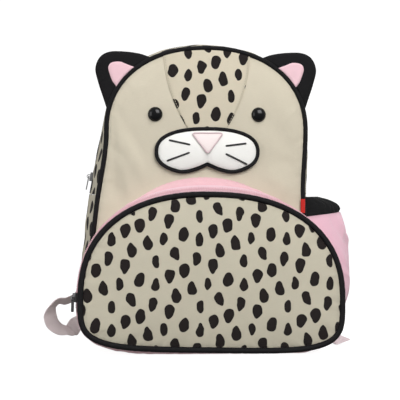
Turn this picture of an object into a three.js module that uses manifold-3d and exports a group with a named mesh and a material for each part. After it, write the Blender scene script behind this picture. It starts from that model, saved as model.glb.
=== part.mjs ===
// A small child's backpack with a cat's face: a soft hollow body, a bellows pocket on its front, a pouch at
// its side, two ears, padded shoulder straps and webbing. Millimetres, +Z up, the face looks along -Y.
// The origin is the middle of the base of the main compartment, on the floor.
import * as THREE from 'three';
import Module from 'manifold-3d';

const wasm = await Module();
wasm.setup();

// Cloth, padding and the room between pieces that touch
const GAP = 0.3;
const CLOTH = 2;
const PANEL_THICK = 3;
const BACK_PADDING = 5;

// Main compartment: a round crown on straighter sides that spread to the hips
const BODY_DEPTH = 90;
const BODY_HALF_WIDTH = 100;
const SHOULDER_HEIGHT = 219;
const CROWN_HEIGHT = 83;
const CROWN_ROUNDNESS = 2.2;
const HIP_ROUNDNESS = 6;
const HIP_SPREAD = 0.32;
const HEAD_LEAN = 6;
const LEAN_START = 140;
const SEAM_LIFT = 2.5;
const GUSSET_BULGE = 10;
const FACE_CROWN = 8;
const CROWN_FULLNESS = 2.2;
const PIPING_RADIUS = 2.3;

// Main zip
const ZIP_WIDTH = 14;
const ZIP_MIDDLE_Y = -5;
const ZIP_END_HEIGHT = 155;
const ZIP_RECESS = 0.6;
const MAIN_SLIDER_HEIGHT = 172;

// Front pocket: a bellows between its seam on the face and its own piped rim
const POCKET_CENTRE_X = 9;
const POCKET_CENTRE_HEIGHT = 56;
const POCKET_HALF_WIDTH = 127.5;
const POCKET_RISE = 99.5;
const POCKET_DROP = 51;
const POCKET_TILT_DEG = -1.2;
const POCKET_TOP_ROUNDNESS = 2.3;
const POCKET_LOW_ROUNDNESS = 4.5;
const POCKET_CROWN = 7;
const POCKET_TOP_STAND_OFF = 27;
const POCKET_LOW_STAND_OFF = 43;
const POCKET_PIPING_RADIUS = 2.8;
const POCKET_BULGE = 8;
const POCKET_TOP_BULGE = 4;
const POCKET_BULGE_AHEAD = 1.6;
const POCKET_SEAM_X = 3;
const POCKET_SEAM_HALF_WIDTH = 109;
const POCKET_SEAM_RISE = 116.5;
const POCKET_SEAM_DROP = 48;
const POCKET_SEAM_TOP_ROUNDNESS = 2.1;
const POCKET_SEAM_LOW_ROUNDNESS = 4;
const POCKET_ZIP_SHARE = 0.3;
const POCKET_ZIP_END_HEIGHT = 42;
const POCKET_SLIDER_HEIGHT = 54;

// Face
const FOREHEAD_HALF_WIDTH = 43.5;
const PATCH_THICK = 1;
const MUZZLE_HEIGHT = 198;
const MUZZLE_HALF_WIDTH = 50.5;
const MUZZLE_RISE = 22.5;
const MUZZLE_DROP = 22.3;
const MUZZLE_CUSP = 0.56;
const MUZZLE_ROUNDNESS = 2.4;
const MUZZLE_EDGE = 1.6;
const MUZZLE_CROWN = 5;
const MUZZLE_PIPING_RADIUS = 1.85;
const NOSE_HALF_WIDTH = 15.5;
const NOSE_TOP_HEIGHT = 216;
const NOSE_DEPTH = 20.5;
const NOSE_THICK = 1.4;
const WHISKER_RADIUS = 0.75;
const EYE_SPREAD = 51.5;
const EYE_HEIGHT = 235;
const EYE_RADIUS = 7.3;
const EYE_DOME = 4.6;

// Ears
const EAR_LOW_HEIGHT = 240;
const EAR_HIGH_HEIGHT = 291;
const EAR_REACH = 39;
const EAR_THICK = 5;
const EAR_SWELL = 2.5;
const INNER_EAR_LOW_HEIGHT = 262;
const INNER_EAR_HIGH_HEIGHT = 281;

// Side pocket
const POUCH_FRONT_Y = -38;
const POUCH_BACK_Y = 32;
const POUCH_LOW_HEIGHT = 20;
const POUCH_CLEARANCE = 0.6;
const BAND_BELOW_ZIP_END = 22;
const POUCH_BAND_HEIGHT = ZIP_END_HEIGHT - BAND_BELOW_ZIP_END;
const POUCH_REACH = 37;
const POUCH_DRAW = 0.16;
const POUCH_NECK = 2.6;
const BAND_WIDTH = 20;
const BAND_REACH = 10;
const TAB_WIDTH = 4.5;
const TAB_LENGTH = 14;
const TAB_THICK = 1.3;
const TAB_HEIGHT = 137;

// Straps, webbing and handle
const STRAP_WIDTH = 42;
const STRAP_THICK = 9;
const STRAP_TOP_X = 34;
const STRAP_LOW_X = 98;
const STRAP_TOP_HEIGHT = 272;
const STRAP_LOW_HEIGHT = 95;
const STRAP_STAND_OFF = 43;
const WEBBING_WIDTH = 16;
const WEBBING_THICK = 1.5;
const BUCKLE_WIDTH = 26;
const BUCKLE_LENGTH = 24;
const BUCKLE_THICK = 2.4;
const BUCKLE_BAR = 3.5;
const ANCHOR_HEIGHT = 24;
const ANCHOR_LENGTH = 12;
const ANCHOR_WIDTH = 20;
const ANCHOR_THICK = 3;
const WEBBING_LOOP_REACH = 29;
const WEBBING_LOOP_LOW = 10.8;
const WEBBING_LOOP_RISE = 32;
const WEBBING_TAIL_REACH = 24.3;
const WEBBING_TAIL_LENGTH = 93;
const WEBBING_TAIL_RISE = 45;
const STRAP_SWING = 25;
const HANDLE_SPAN = 48;
const HANDLE_RISE = 20;
const HANDLE_TILT_DEG = 70;

// Sliders and pulls
const SLIDER_WIDTH = 8;
const SLIDER_LENGTH = 9;
const SLIDER_THICK = 3;
const CROWN_INNER = 1.4;
const CROWN_OUTER = 2.2;
const CROWN_WIDTH = 2;
const HINGE_LIFT = 1.1;
const PULL_WIDTH = 5;
const PULL_LENGTH = 14;
const PULL_THICK = 1.2;
const PULL_BAR = 0.65;
const PULL_CLEARANCE = 0.5;

// Faceting
const RING_STEPS = 48;
const ARCH_STEPS = 28;
const PIPING_SIDES = 6;
const DENSE_STEPS = 720;

// How far the gusset swells at mid-depth, by height as a share of the whole body
const SWELL_BY_HEIGHT = [
  { height: 0, swell: 0.6 }, { height: 0.2, swell: 0.8 }, { height: 0.45, swell: 1 },
  { height: 0.64, swell: 0.9 }, { height: 0.78, swell: 0.35 }, { height: 1, swell: 0.8 },
];
// The forehead panel's half-width, upwards from the muzzle
const FOREHEAD_BY_HEIGHT = [
  { up: 0, wide: 0.45 }, { up: 0.31, wide: 0.72 }, { up: 0.63, wide: 0.9 }, { up: 1, wide: 1 },
];
// The free edges of the ear and of its lining, along the base and out from it
const EAR_EDGE = [
  { along: 0.11, out: 0.27 }, { along: 0.22, out: 0.58 }, { along: 0.35, out: 0.87 },
  { along: 0.52, out: 0.97 }, { along: 0.67, out: 0.87 }, { along: 0.81, out: 0.59 },
  { along: 0.93, out: 0.26 },
];
const INNER_EAR_EDGE = [
  { along: 0.37, out: 0.33 }, { along: 0.42, out: 0.49 }, { along: 0.48, out: 0.63 },
  { along: 0.56, out: 0.65 }, { along: 0.65, out: 0.51 }, { along: 0.69, out: 0.32 },
];
// Whisker ends as shares of the muzzle's half-width and of its rise, nearest the nose first
const WHISKERS = [
  { name: 'whisker_upper_left', x0: -0.34, z0: 0.29, x1: -0.76, z1: 0.5 },
  { name: 'whisker_lower_left', x0: -0.35, z0: -0.05, x1: -0.8, z1: -0.42 },
  { name: 'whisker_upper_right', x0: 0.35, z0: 0.24, x1: 0.77, z1: 0.36 },
  { name: 'whisker_lower_right', x0: 0.35, z0: -0.1, x1: 0.79, z1: -0.57 },
];
// The shoulder strap's route from its top seam: across, back from the panel and down
const STRAP_ROUTE = [
  { across: 0, back: 0, down: 0 }, { across: 0, back: 0.12, down: 0 },
  { across: 0.02, back: 0.38, down: -0.012 }, { across: 0.07, back: 0.68, down: 0.06 },
  { across: 0.19, back: 0.93, down: 0.237 }, { across: 0.41, back: 1, down: 0.475 },
  { across: 0.66, back: 0.885, down: 0.69 }, { across: 0.875, back: 0.68, down: 0.87 },
  { across: 1, back: 0.45, down: 1 },
];
// The left webbing's slack loop: out from its tab, up from its lowest point and ahead of the back seam, as
// shares of the loop's reach and rise, with the direction that its width takes
const WEBBING_LOOP = [
  { out: 0.24, up: 0.01, ahead: 0.07, width: [-0.3, 0.75, 0.6] },
  { out: 0.43, up: 0.03, ahead: 0.14, width: [-0.1, 0.85, 0.5] },
  { out: 0.68, up: 0.08, ahead: 0.21, width: [0.1, 0.67, 0.74] },
  { out: 0.92, up: 0.26, ahead: 0.24, width: [0.6, 0.5, 0.6] },
  { out: 1, up: 0.5, ahead: 0.24, width: [0.85, 0.5, 0.1] },
  { out: 0.9, up: 0.83, ahead: 0.21, width: [0.3, 0.9, -0.2] },
  { out: 0.71, up: 0.99, ahead: 0.17, width: [0.1, 0.9, -0.4] },
  { out: 0.42, up: 1, ahead: 0.07, width: [0, 0.85, -0.5] },
  { out: 0.08, up: 1.15, ahead: -0.17, width: [0.4, 0.9, -0.1] },
];
// The right webbing's loose tail, which lies on the floor: out from its tab, down and ahead from the buckle
const WEBBING_TAIL = [
  { out: 0.24, ahead: 0, up: 1, width: [-1, 0, 0] },
  { out: 0.82, ahead: 0.11, up: 0.38, width: [-0.8, -0.6, 0] },
  { out: 0.65, ahead: 0.52, up: 0.155, width: [-0.75, -0.5, -0.3] },
  { out: 0.84, ahead: 0.77, up: 0.115, width: [-0.85, -0.4, -0.3] },
  { out: 1, ahead: 1, up: 0.096, width: [-0.85, -0.4, -0.3] },
];

const V3 = (x, y, z) => new THREE.Vector3(x, y, z);
const V2 = (x, z) => new THREE.Vector2(x, z);
const mix = THREE.MathUtils.lerp;
const ACROSS = V3(1, 0, 0);
const BACKWARD = V3(0, 1, 0);

// A value read from a short table, eased between its rows
function fromTable(table, key, column, at) {
  const last = table.length - 1;
  let row = 0;
  while (row < last - 1 && at > table[row + 1][key]) row += 1;
  const share = THREE.MathUtils.clamp((at - table[row][key]) / (table[row + 1][key] - table[row][key]), 0, 1);
  return mix(table[row][column], table[row + 1][column], share * share * (3 - 2 * share));
}

// Geometry from points and triangles, turned so that its faces look outwards
function closedGeometry(points, faces) {
  let volume = 0;
  for (const [a, b, c] of faces) volume += points[a].dot(points[b].clone().cross(points[c]));
  const index = faces.flatMap(([a, b, c]) => (volume < 0 ? [a, c, b] : [a, b, c]));
  const geometry = new THREE.BufferGeometry().setFromPoints(points);
  geometry.setIndex(index);
  geometry.computeVertexNormals();
  return geometry;
}

function wallFaces(count, across, joined) {
  const faces = [];
  const spans = joined ? count : count - 1;
  for (let i = 0; i < spans; i += 1) {
    for (let j = 0; j < across; j += 1) {
      const next = (i + 1) % count;
      const [a, b] = [i * across + j, i * across + (j + 1) % across];
      const [c, d] = [next * across + j, next * across + (j + 1) % across];
      faces.push([a, b, d], [a, d, c]);
    }
  }
  return faces;
}

// A closed body through rings of points, its ends closed to their middles or its last ring joined to the first
function loft(rings, joined = false) {
  const across = rings[0].length;
  const points = rings.flat();
  const faces = wallFaces(rings.length, across, joined);
  if (!joined) {
    [0, rings.length - 1].forEach((row, end) => {
      const middle = points.length;
      points.push(rings[row].reduce((sum, p) => sum.add(p), V3(0, 0, 0)).divideScalar(across));
      for (let j = 0; j < across; j += 1) {
        const pair = [row * across + j, row * across + (j + 1) % across];
        faces.push(end === 0 ? [middle, pair[1], pair[0]] : [middle, pair[0], pair[1]]);
      }
    });
  }
  return closedGeometry(points, faces);
}

// A wall between two skins of points: each row holds the outer points and the inner ones of one station
function wall(rows, joined = false) {
  const rings = rows.map(({ outer, inner }) => [...outer, ...inner.slice().reverse()]);
  const across = rings[0].length;
  const faces = wallFaces(rings.length, across, joined);
  if (!joined) {
    [0, rings.length - 1].forEach((row, end) => {
      for (let j = 0; j < across / 2 - 1; j += 1) {
        const [a, b] = [row * across + j, row * across + j + 1];
        const [c, d] = [row * across + across - 2 - j, row * across + across - 1 - j];
        faces.push(...(end === 0 ? [[a, c, b], [a, d, c]] : [[a, b, c], [a, c, d]]));
      }
    });
  }
  return closedGeometry(rings.flat(), faces);
}

const steps = (from, to, count) => Array.from({ length: count + 1 }, (_, i) => mix(from, to, i / count));

// Reads a closed outline by the share of its length, from its top clockwise as seen from the front
function readOutline(points) {
  const lengths = [0];
  points.forEach((p, i) => lengths.push(lengths[i] + p.distanceTo(points[(i + 1) % points.length])));
  const whole = lengths[points.length];
  const pointAt = (share) => {
    const goal = (share - Math.floor(share)) * whole;
    let [low, high] = [0, points.length];
    while (high - low > 1) {
      const middle = (low + high) >> 1;
      if (lengths[middle] <= goal) low = middle;
      else high = middle;
    }
    const part = (goal - lengths[low]) / (lengths[low + 1] - lengths[low]);
    return points[low].clone().lerp(points[(low + 1) % points.length], part);
  };
  const outAt = (share) => {
    const along = pointAt(share + 0.003).sub(pointAt(share - 0.003)).normalize();
    return V2(-along.y, along.x);
  };
  return { pointAt, outAt, whole };
}

// The reach of a rounded box from its middle along an angle
function reachAt(angle, halfWidth, height, roundness) {
  const x = Math.abs(Math.cos(angle) / halfWidth) ** roundness;
  const z = Math.abs(Math.sin(angle) / height) ** roundness;
  return (x + z) ** (-1 / roundness);
}

function denseOutline(shape) {
  return steps(Math.PI / 2, -1.5 * Math.PI, DENSE_STEPS).slice(0, -1).map(shape);
}

// Body outline
const BODY_HEIGHT = SHOULDER_HEIGHT + CROWN_HEIGHT;
const FACE_Y = -BODY_DEPTH / 2;
const hipHeight = SHOULDER_HEIGHT - SEAM_LIFT;
const spreadAt = (z) => 1 + HIP_SPREAD * (Math.max(0, SHOULDER_HEIGHT - z) / hipHeight) ** 2;
function leanAt(z) {
  return HEAD_LEAN * THREE.MathUtils.smoothstep(z, LEAN_START, SHOULDER_HEIGHT);
}
function bodyShape(angle) {
  const upper = Math.sin(angle) >= 0;
  const [height, roundness] = upper ? [CROWN_HEIGHT, CROWN_ROUNDNESS] : [hipHeight, HIP_ROUNDNESS];
  const reach = reachAt(angle, BODY_HALF_WIDTH, height, roundness);
  const z = SHOULDER_HEIGHT + reach * Math.sin(angle);
  return V2(reach * Math.cos(angle) * spreadAt(z) + leanAt(z), z);
}
const body = readOutline(denseOutline(bodyShape));

// How far out a point of the face is, from 0 in its middle to 1 on the outline
function faceShare(x, z) {
  const upper = z >= SHOULDER_HEIGHT;
  const [height, roundness] = upper ? [CROWN_HEIGHT, CROWN_ROUNDNESS] : [hipHeight, HIP_ROUNDNESS];
  const dx = Math.abs(x - leanAt(z)) / (BODY_HALF_WIDTH * spreadAt(z));
  const dz = Math.abs(z - SHOULDER_HEIGHT) / height;
  return Math.min(1, (dx ** roundness + dz ** roundness) ** (1 / roundness));
}
const PANEL_HALF = PANEL_THICK / 2;
const faceFront = (x, z) => FACE_Y - PANEL_HALF - FACE_CROWN * (1 - faceShare(x, z) ** CROWN_FULLNESS);

// The share of an outline's length at a height on its right side, or on its left
function shareAtHeight(z, side = 1, outline = body) {
  let [low, high] = side > 0 ? [0, 0.5] : [1, 0.5];
  for (let i = 0; i < 40; i += 1) {
    const middle = (low + high) / 2;
    if (outline.pointAt(middle).y > z) low = middle;
    else high = middle;
  }
  return (low + high) / 2;
}

// The gusset's skin: the outline swollen between its two seams, and flat where it stands on the floor
const SEAM_Y = BODY_DEPTH / 2 - PIPING_RADIUS - GAP;
function bodySkin(share, y, inset) {
  const p = body.pointAt(share);
  const out = body.outAt(share);
  const swell = GUSSET_BULGE * fromTable(SWELL_BY_HEIGHT, 'height', 'swell', p.y / BODY_HEIGHT);
  const across = Math.sin(Math.PI * THREE.MathUtils.clamp((y + SEAM_Y) / (2 * SEAM_Y), 0, 1)) ** 0.8;
  const offset = swell * across - inset;
  return V3(p.x + out.x * offset, y, Math.max(p.y + out.y * offset, Math.max(0, inset)));
}

function gussetBand(from, to, stations, y0, y1, rows, recess = 0, thick = CLOTH) {
  const depth = steps(y0, y1, rows);
  return wall(steps(from, to, stations).map((share) => ({
    outer: depth.map((y) => bodySkin(share, y, recess)),
    inner: depth.map((y) => bodySkin(share, y, recess + thick)),
  })));
}

// A round piping along an outline, at the depth that its plane has there
function piping(outline, radius, depthAt, count = RING_STEPS) {
  return loft(steps(0, 1, count).slice(0, -1).map((share) => {
    const p = outline.pointAt(share);
    const out = outline.outAt(share);
    const y = depthAt(p.x, p.y);
    return steps(0, 2 * Math.PI, PIPING_SIDES).slice(0, -1).map((turn) => {
      const [c, s] = [radius * Math.cos(turn), radius * Math.sin(turn)];
      return V3(p.x + out.x * c, y + s, p.y + out.y * c);
    });
  }), true);
}

// A padded piece inside an outline: rings that shrink to its middle on the front, then on the back
const RING_SHARES = [0.25, 0.5, 0.75, 0.93, 1];
const BACK_SHARES = [1, 0.5];
function pad(outline, inset, count, frontAt, backAt, shares = RING_SHARES) {
  const edge = steps(0, 1, count).slice(0, -1).map((share) => {
    const out = outline.outAt(share);
    return outline.pointAt(share).addScaledVector(out, -inset);
  });
  const middle = edge.reduce((sum, p) => sum.add(p), V2(0, 0)).divideScalar(count);
  const ring = (share, depthAt) => edge.map((p) => {
    const q = middle.clone().lerp(p, share);
    return V3(q.x, depthAt(q.x, q.y, share), q.y);
  });
  const front = shares.map((share) => ring(share, frontAt));
  const back = BACK_SHARES.map((share) => ring(share, backAt));
  return loft([...front, ...back]);
}

const scene = new THREE.Group();
function add(name, geometry, look, place = scene) {
  const mesh = new THREE.Mesh(geometry, new THREE.MeshStandardMaterial(look));
  mesh.name = name;
  place.add(mesh);
  return mesh;
}

const LOOKS = {
  face: { color: 0xd8d1bb, roughness: 0.95, metalness: 0 },
  spots: { color: 0xb9b19c, roughness: 0.95, metalness: 0 },
  pink: { color: 0xf6c9d2, roughness: 0.9, metalness: 0 },
  black: { color: 0x242326, roughness: 0.9, metalness: 0 },
  white: { color: 0xf5f2ea, roughness: 0.95, metalness: 0 },
  nose: { color: 0xf8e8e6, roughness: 0.8, metalness: 0 },
  zip: { color: 0x2a282a, roughness: 0.7, metalness: 0 },
  pinkZip: { color: 0xf9dbe0, roughness: 0.7, metalness: 0 },
  metal: { color: 0xb9bbbd, roughness: 0.3, metalness: 1 },
  eye: { color: 0x050506, roughness: 0.1, metalness: 0 },
  webbing: { color: 0xc4b3b0, roughness: 0.85, metalness: 0 },
  plastic: { color: 0x1b1b1d, roughness: 0.5, metalness: 0 },
  red: { color: 0xd23028, roughness: 0.8, metalness: 0 },
};

// Main body: face, back, both pipings and the gusset with its zip
const PANEL_INSET = PIPING_RADIUS + GAP;
add('face_panel', pad(body, PANEL_INSET, RING_STEPS, faceFront,
  (x, z) => faceFront(x, z) + PANEL_THICK), LOOKS.face);
add('face_piping', piping(body, PIPING_RADIUS, () => FACE_Y), LOOKS.black);

const backFront = -FACE_Y - PANEL_HALF;
const backAt = (x, z) => -FACE_Y + PANEL_HALF + (BACK_PADDING - PANEL_HALF) * (1 - faceShare(x, z) ** 8);
const backFlat = (x, z) => (faceShare(x, z) < 0.8 ? -FACE_Y + BACK_PADDING : backAt(x, z));
add('back_panel', pad(body, PANEL_INSET, RING_STEPS, () => backFront, backFlat), LOOKS.black);
add('back_piping', piping(body, PIPING_RADIUS, () => -FACE_Y), LOOKS.black);

const zipEnd = shareAtHeight(ZIP_END_HEIGHT);
const zipStart = shareAtHeight(ZIP_END_HEIGHT, -1) - 1;
const shareGap = GAP / body.whole;
const zipFront = ZIP_MIDDLE_Y - ZIP_WIDTH / 2;
const zipBack = ZIP_MIDDLE_Y + ZIP_WIDTH / 2;
add('gusset_front', gussetBand(zipStart, zipEnd, ARCH_STEPS, -SEAM_Y, zipFront - GAP, 3), LOOKS.spots);
add('main_zip', gussetBand(zipStart, zipEnd, ARCH_STEPS, zipFront, zipBack, 1, ZIP_RECESS, CLOTH / 2),
  LOOKS.zip);
add('gusset_back', gussetBand(zipStart, zipEnd, ARCH_STEPS, zipBack + GAP, SEAM_Y, 3), LOOKS.spots);
add('gusset_base', gussetBand(zipEnd + shareGap, zipStart + 1 - shareGap, 26, -SEAM_Y, SEAM_Y, 5),
  LOOKS.spots);

// Front pocket
function pocketShape(centreX, halfWidth, rise, drop, riseRoundness, dropRoundness) {
  const tilt = THREE.MathUtils.degToRad(POCKET_TILT_DEG);
  return (angle) => {
    const upper = Math.sin(angle) >= 0;
    const reach = reachAt(angle, halfWidth, upper ? rise : drop, upper ? riseRoundness : dropRoundness);
    const point = V2(reach * Math.cos(angle), reach * Math.sin(angle)).rotateAround(V2(0, 0), tilt);
    return point.add(V2(centreX, POCKET_CENTRE_HEIGHT));
  };
}
const rim = readOutline(denseOutline(
  pocketShape(POCKET_CENTRE_X, POCKET_HALF_WIDTH, POCKET_RISE, POCKET_DROP, POCKET_TOP_ROUNDNESS,
    POCKET_LOW_ROUNDNESS)));
const seam = readOutline(denseOutline(
  pocketShape(POCKET_SEAM_X, POCKET_SEAM_HALF_WIDTH, POCKET_SEAM_RISE, POCKET_SEAM_DROP,
    POCKET_SEAM_TOP_ROUNDNESS, POCKET_SEAM_LOW_ROUNDNESS)));
const pocketTop = POCKET_CENTRE_HEIGHT + POCKET_RISE;
function rimY(x, z) {
  const down = (pocketTop - z) / (POCKET_RISE + POCKET_DROP);
  return FACE_Y - mix(POCKET_TOP_STAND_OFF, POCKET_LOW_STAND_OFF, down);
}
function pocketSkin(share, part, inset) {
  const low = seam.pointAt(share);
  const high = rim.pointAt(share);
  const lowY = Math.min(faceFront(low.x, low.y), FACE_Y - PIPING_RADIUS) - GAP;
  const highY = rimY(high.x, high.y) + POCKET_PIPING_RADIUS + GAP;
  const out = rim.outAt(share);
  const fall = THREE.MathUtils.clamp((pocketTop - high.y) / POCKET_RISE, 0, 1);
  const bulge = mix(POCKET_TOP_BULGE, POCKET_BULGE, fall);
  const offset = bulge * Math.sin(Math.PI * part ** POCKET_BULGE_AHEAD) - inset;
  const z = mix(low.y, high.y, part) + out.y * offset;
  return V3(mix(low.x, high.x, part) + out.x * offset, mix(lowY, highY, part), Math.max(z, GAP + inset));
}
function pocketBand(from, to, stations, part0, part1, rows) {
  const parts = steps(part0, part1, rows);
  return wall(steps(from, to, stations).map((share) => ({
    outer: parts.map((part) => pocketSkin(share, part, 0)),
    inner: parts.map((part) => pocketSkin(share, part, CLOTH)),
  })));
}
const pocketFront = (x, z, share) => rimY(x, z) - PANEL_HALF - POCKET_CROWN * (1 - share ** CROWN_FULLNESS);
add('pocket_panel', pad(rim, POCKET_PIPING_RADIUS + GAP, RING_STEPS, pocketFront,
  (x, z, share) => pocketFront(x, z, share) + PANEL_THICK), LOOKS.spots);
add('pocket_piping', piping(rim, POCKET_PIPING_RADIUS, rimY), LOOKS.black);
const pocketZipEnd = shareAtHeight(POCKET_ZIP_END_HEIGHT, 1, rim);
const pocketZipStart = shareAtHeight(POCKET_ZIP_END_HEIGHT, -1, rim) - 1;
const pocketGap = GAP / rim.whole;
const partGap = GAP / (POCKET_TOP_STAND_OFF - POCKET_PIPING_RADIUS);
add('pocket_gusset', pocketBand(pocketZipStart, pocketZipEnd, ARCH_STEPS, 0,
  1 - POCKET_ZIP_SHARE - partGap, 3), LOOKS.pink);
add('pocket_zip', pocketBand(pocketZipStart, pocketZipEnd, ARCH_STEPS, 1 - POCKET_ZIP_SHARE, 1, 2),
  LOOKS.pinkZip);
add('pocket_gusset_base', pocketBand(pocketZipEnd + pocketGap, pocketZipStart + 1 - pocketGap, 22, 0, 1, 3),
  LOOKS.pink);

// Muzzle: a wide rounded top, and below it two lobes that meet in a cusp
const headX = HEAD_LEAN;
function muzzleShape(angle) {
  const height = Math.sin(angle) >= 0 ? MUZZLE_RISE : MUZZLE_DROP;
  const reach = reachAt(angle, MUZZLE_HALF_WIDTH, height, MUZZLE_ROUNDNESS);
  const point = V2(reach * Math.cos(angle), reach * Math.sin(angle));
  if (Math.sin(angle) < 0) {
    const near = Math.max(0, 1 - Math.abs(point.x) / (MUZZLE_HALF_WIDTH * 0.55));
    point.y *= 1 - (1 - MUZZLE_CUSP) * near ** 1.4;
  }
  return point.add(V2(headX, MUZZLE_HEIGHT));
}
const muzzle = readOutline(denseOutline(muzzleShape));
function muzzleFront(x, z) {
  const dx = Math.min(1, Math.abs(x - headX) / MUZZLE_HALF_WIDTH);
  const dz = Math.min(1, Math.abs(z - MUZZLE_HEIGHT) / MUZZLE_RISE);
  return faceFront(x, z) - GAP - MUZZLE_EDGE - MUZZLE_CROWN * (1 - dx ** 2) * (1 - dz ** 2);
}
const behindPatch = (x, z) => faceFront(x, z) - GAP;
add('muzzle', pad(muzzle, MUZZLE_PIPING_RADIUS + GAP, 36, muzzleFront, behindPatch, [0.3, 0.6, 0.85, 1]),
  LOOKS.white);
add('muzzle_border', piping(muzzle, MUZZLE_PIPING_RADIUS,
  (x, z) => behindPatch(x, z) - MUZZLE_PIPING_RADIUS, 40), LOOKS.black);

// Nose: a triangle with soft corners, point down
function softPolygon(corners, soft) {
  const points = [];
  corners.forEach((corner, i) => {
    const before = corners[(i + corners.length - 1) % corners.length];
    const after = corners[(i + 1) % corners.length];
    const curve = new THREE.QuadraticBezierCurve(corner.clone().lerp(before, soft), corner,
      corner.clone().lerp(after, soft));
    points.push(...curve.getPoints(6));
  });
  return points;
}
const nose = readOutline(softPolygon([
  V2(headX - NOSE_HALF_WIDTH, NOSE_TOP_HEIGHT), V2(headX + NOSE_HALF_WIDTH, NOSE_TOP_HEIGHT),
  V2(headX, NOSE_TOP_HEIGHT - NOSE_DEPTH)], 0.2));
const onMuzzle = (x, z) => muzzleFront(x, z) - GAP;
add('nose', pad(nose, 0, 18, (x, z) => onMuzzle(x, z) - NOSE_THICK, onMuzzle, [0.5, 1]), LOOKS.nose);

for (const { name, x0, z0, x1, z1 } of WHISKERS) {
  const rings = steps(0, 1, 4).map((share) => {
    const x = headX + MUZZLE_HALF_WIDTH * mix(x0, x1, share);
    const z = MUZZLE_HEIGHT + MUZZLE_RISE * mix(z0, z1, share);
    const y = onMuzzle(x, z) - WHISKER_RADIUS;
    const across = V2(-(z1 - z0) * MUZZLE_RISE, (x1 - x0) * MUZZLE_HALF_WIDTH).normalize();
    return steps(0, 2 * Math.PI, PIPING_SIDES).slice(0, -1).map((turn) => {
      const [c, s] = [WHISKER_RADIUS * Math.cos(turn), WHISKER_RADIUS * Math.sin(turn)];
      return V3(x + across.x * c, y + s, z + across.y * c);
    });
  });
  add(name, loft(rings), LOOKS.black);
}

// Eyes: glossy domes that follow the slope of the face
for (const [name, side] of [['eye_left', -1], ['eye_right', 1]]) {
  const profile = [V2(0, 0), V2(EYE_RADIUS * 0.96, 0)];
  for (const turn of steps(0.08, Math.PI / 2, 4)) {
    profile.push(V2(turn > 1.57 ? 0 : EYE_RADIUS * Math.cos(turn), EYE_DOME * Math.sin(turn)));
  }
  const eye = add(name, new THREE.LatheGeometry(profile, 16), LOOKS.eye);
  const x = headX + side * EYE_SPREAD;
  const out = V3(-(faceFront(x + 1, EYE_HEIGHT) - faceFront(x - 1, EYE_HEIGHT)) / 2, 1,
    -(faceFront(x, EYE_HEIGHT + 1) - faceFront(x, EYE_HEIGHT - 1)) / 2).negate().normalize();
  eye.quaternion.setFromUnitVectors(BACKWARD, out);
  eye.position.set(x, faceFront(x, EYE_HEIGHT), EYE_HEIGHT).addScaledVector(out, GAP);
}

// Forehead panel: cloth sewn flat on the face, from the muzzle to the top seam
const muzzleTop = (x) => MUZZLE_HEIGHT + MUZZLE_RISE
  * Math.max(0, 1 - Math.abs((x - headX) / MUZZLE_HALF_WIDTH) ** MUZZLE_ROUNDNESS) ** (1 / MUZZLE_ROUNDNESS);
const crownTop = (x) => SHOULDER_HEIGHT + CROWN_HEIGHT
  * Math.max(0, 1 - Math.abs((x - headX) / BODY_HALF_WIDTH) ** CROWN_ROUNDNESS) ** (1 / CROWN_ROUNDNESS);
const foreheadRows = steps(0, 1, 6).map((up) => {
  const half = FOREHEAD_HALF_WIDTH * fromTable(FOREHEAD_BY_HEIGHT, 'up', 'wide', up);
  const spots = steps(-1, 1, 6).map((across) => {
    const x = headX + half * across;
    const low = muzzleTop(x) + MUZZLE_PIPING_RADIUS + 3 * GAP;
    const high = crownTop(x) - (PANEL_INSET + 3 * GAP) * 1.15;
    return V2(x, mix(low, high, up));
  });
  return {
    outer: spots.map((p) => V3(p.x, behindPatch(p.x, p.y) - PATCH_THICK, p.y)),
    inner: spots.map((p) => V3(p.x, behindPatch(p.x, p.y), p.y)),
  };
});
add('forehead_panel', wall(foreheadRows), LOOKS.spots);

// Ears: padded leaves caught in the seam behind the piping, with a lining on the front
function earPlan(side, lowHeight, highHeight, edge, offset) {
  const mirror = (p) => V2(headX + side * (p.x - headX), p.y);
  const onSeam = (share, out) => body.pointAt(share).addScaledVector(body.outAt(share), out);
  const from = onSeam(shareAtHeight(EAR_LOW_HEIGHT), PANEL_INSET);
  const to = onSeam(shareAtHeight(EAR_HIGH_HEIGHT), PANEL_INSET);
  const along = to.clone().sub(from);
  const out = V2(along.y, -along.x).normalize().multiplyScalar(EAR_REACH);
  const lowShare = shareAtHeight(lowHeight);
  const highShare = shareAtHeight(highHeight);
  const free = new THREE.SplineCurve([
    onSeam(lowShare, offset),
    ...edge.map((row) => from.clone().addScaledVector(along, row.along).addScaledVector(out, row.out)),
    onSeam(highShare, offset),
  ]).getPoints(60);
  const base = steps(highShare, lowShare, 24).slice(1, -1).map((share) => onSeam(share, offset));
  const points = [...free, ...base].map(mirror);
  return readOutline(side > 0 ? points.reverse() : points);
}
const EAR_Y = FACE_Y - PANEL_HALF / 2;
for (const [word, side] of [['left', -1], ['right', 1]]) {
  const ear = earPlan(side, EAR_LOW_HEIGHT, EAR_HIGH_HEIGHT, EAR_EDGE, PANEL_INSET);
  add(`ear_${word}`, pad(ear, 0, 30, () => EAR_Y,
    (x, z, share) => EAR_Y + EAR_THICK + EAR_SWELL * (1 - share ** 2), [0.4, 0.8, 1]), LOOKS.black);
  const lining = earPlan(side, INNER_EAR_LOW_HEIGHT, INNER_EAR_HIGH_HEIGHT, INNER_EAR_EDGE, PANEL_INSET + GAP);
  add(`ear_inner_${word}`, pad(lining, 0, 22, (x, z, share) => EAR_Y - GAP - PATCH_THICK * (1.6 - share),
    () => EAR_Y - GAP, [0.6, 1]), LOOKS.pink);
}

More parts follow.
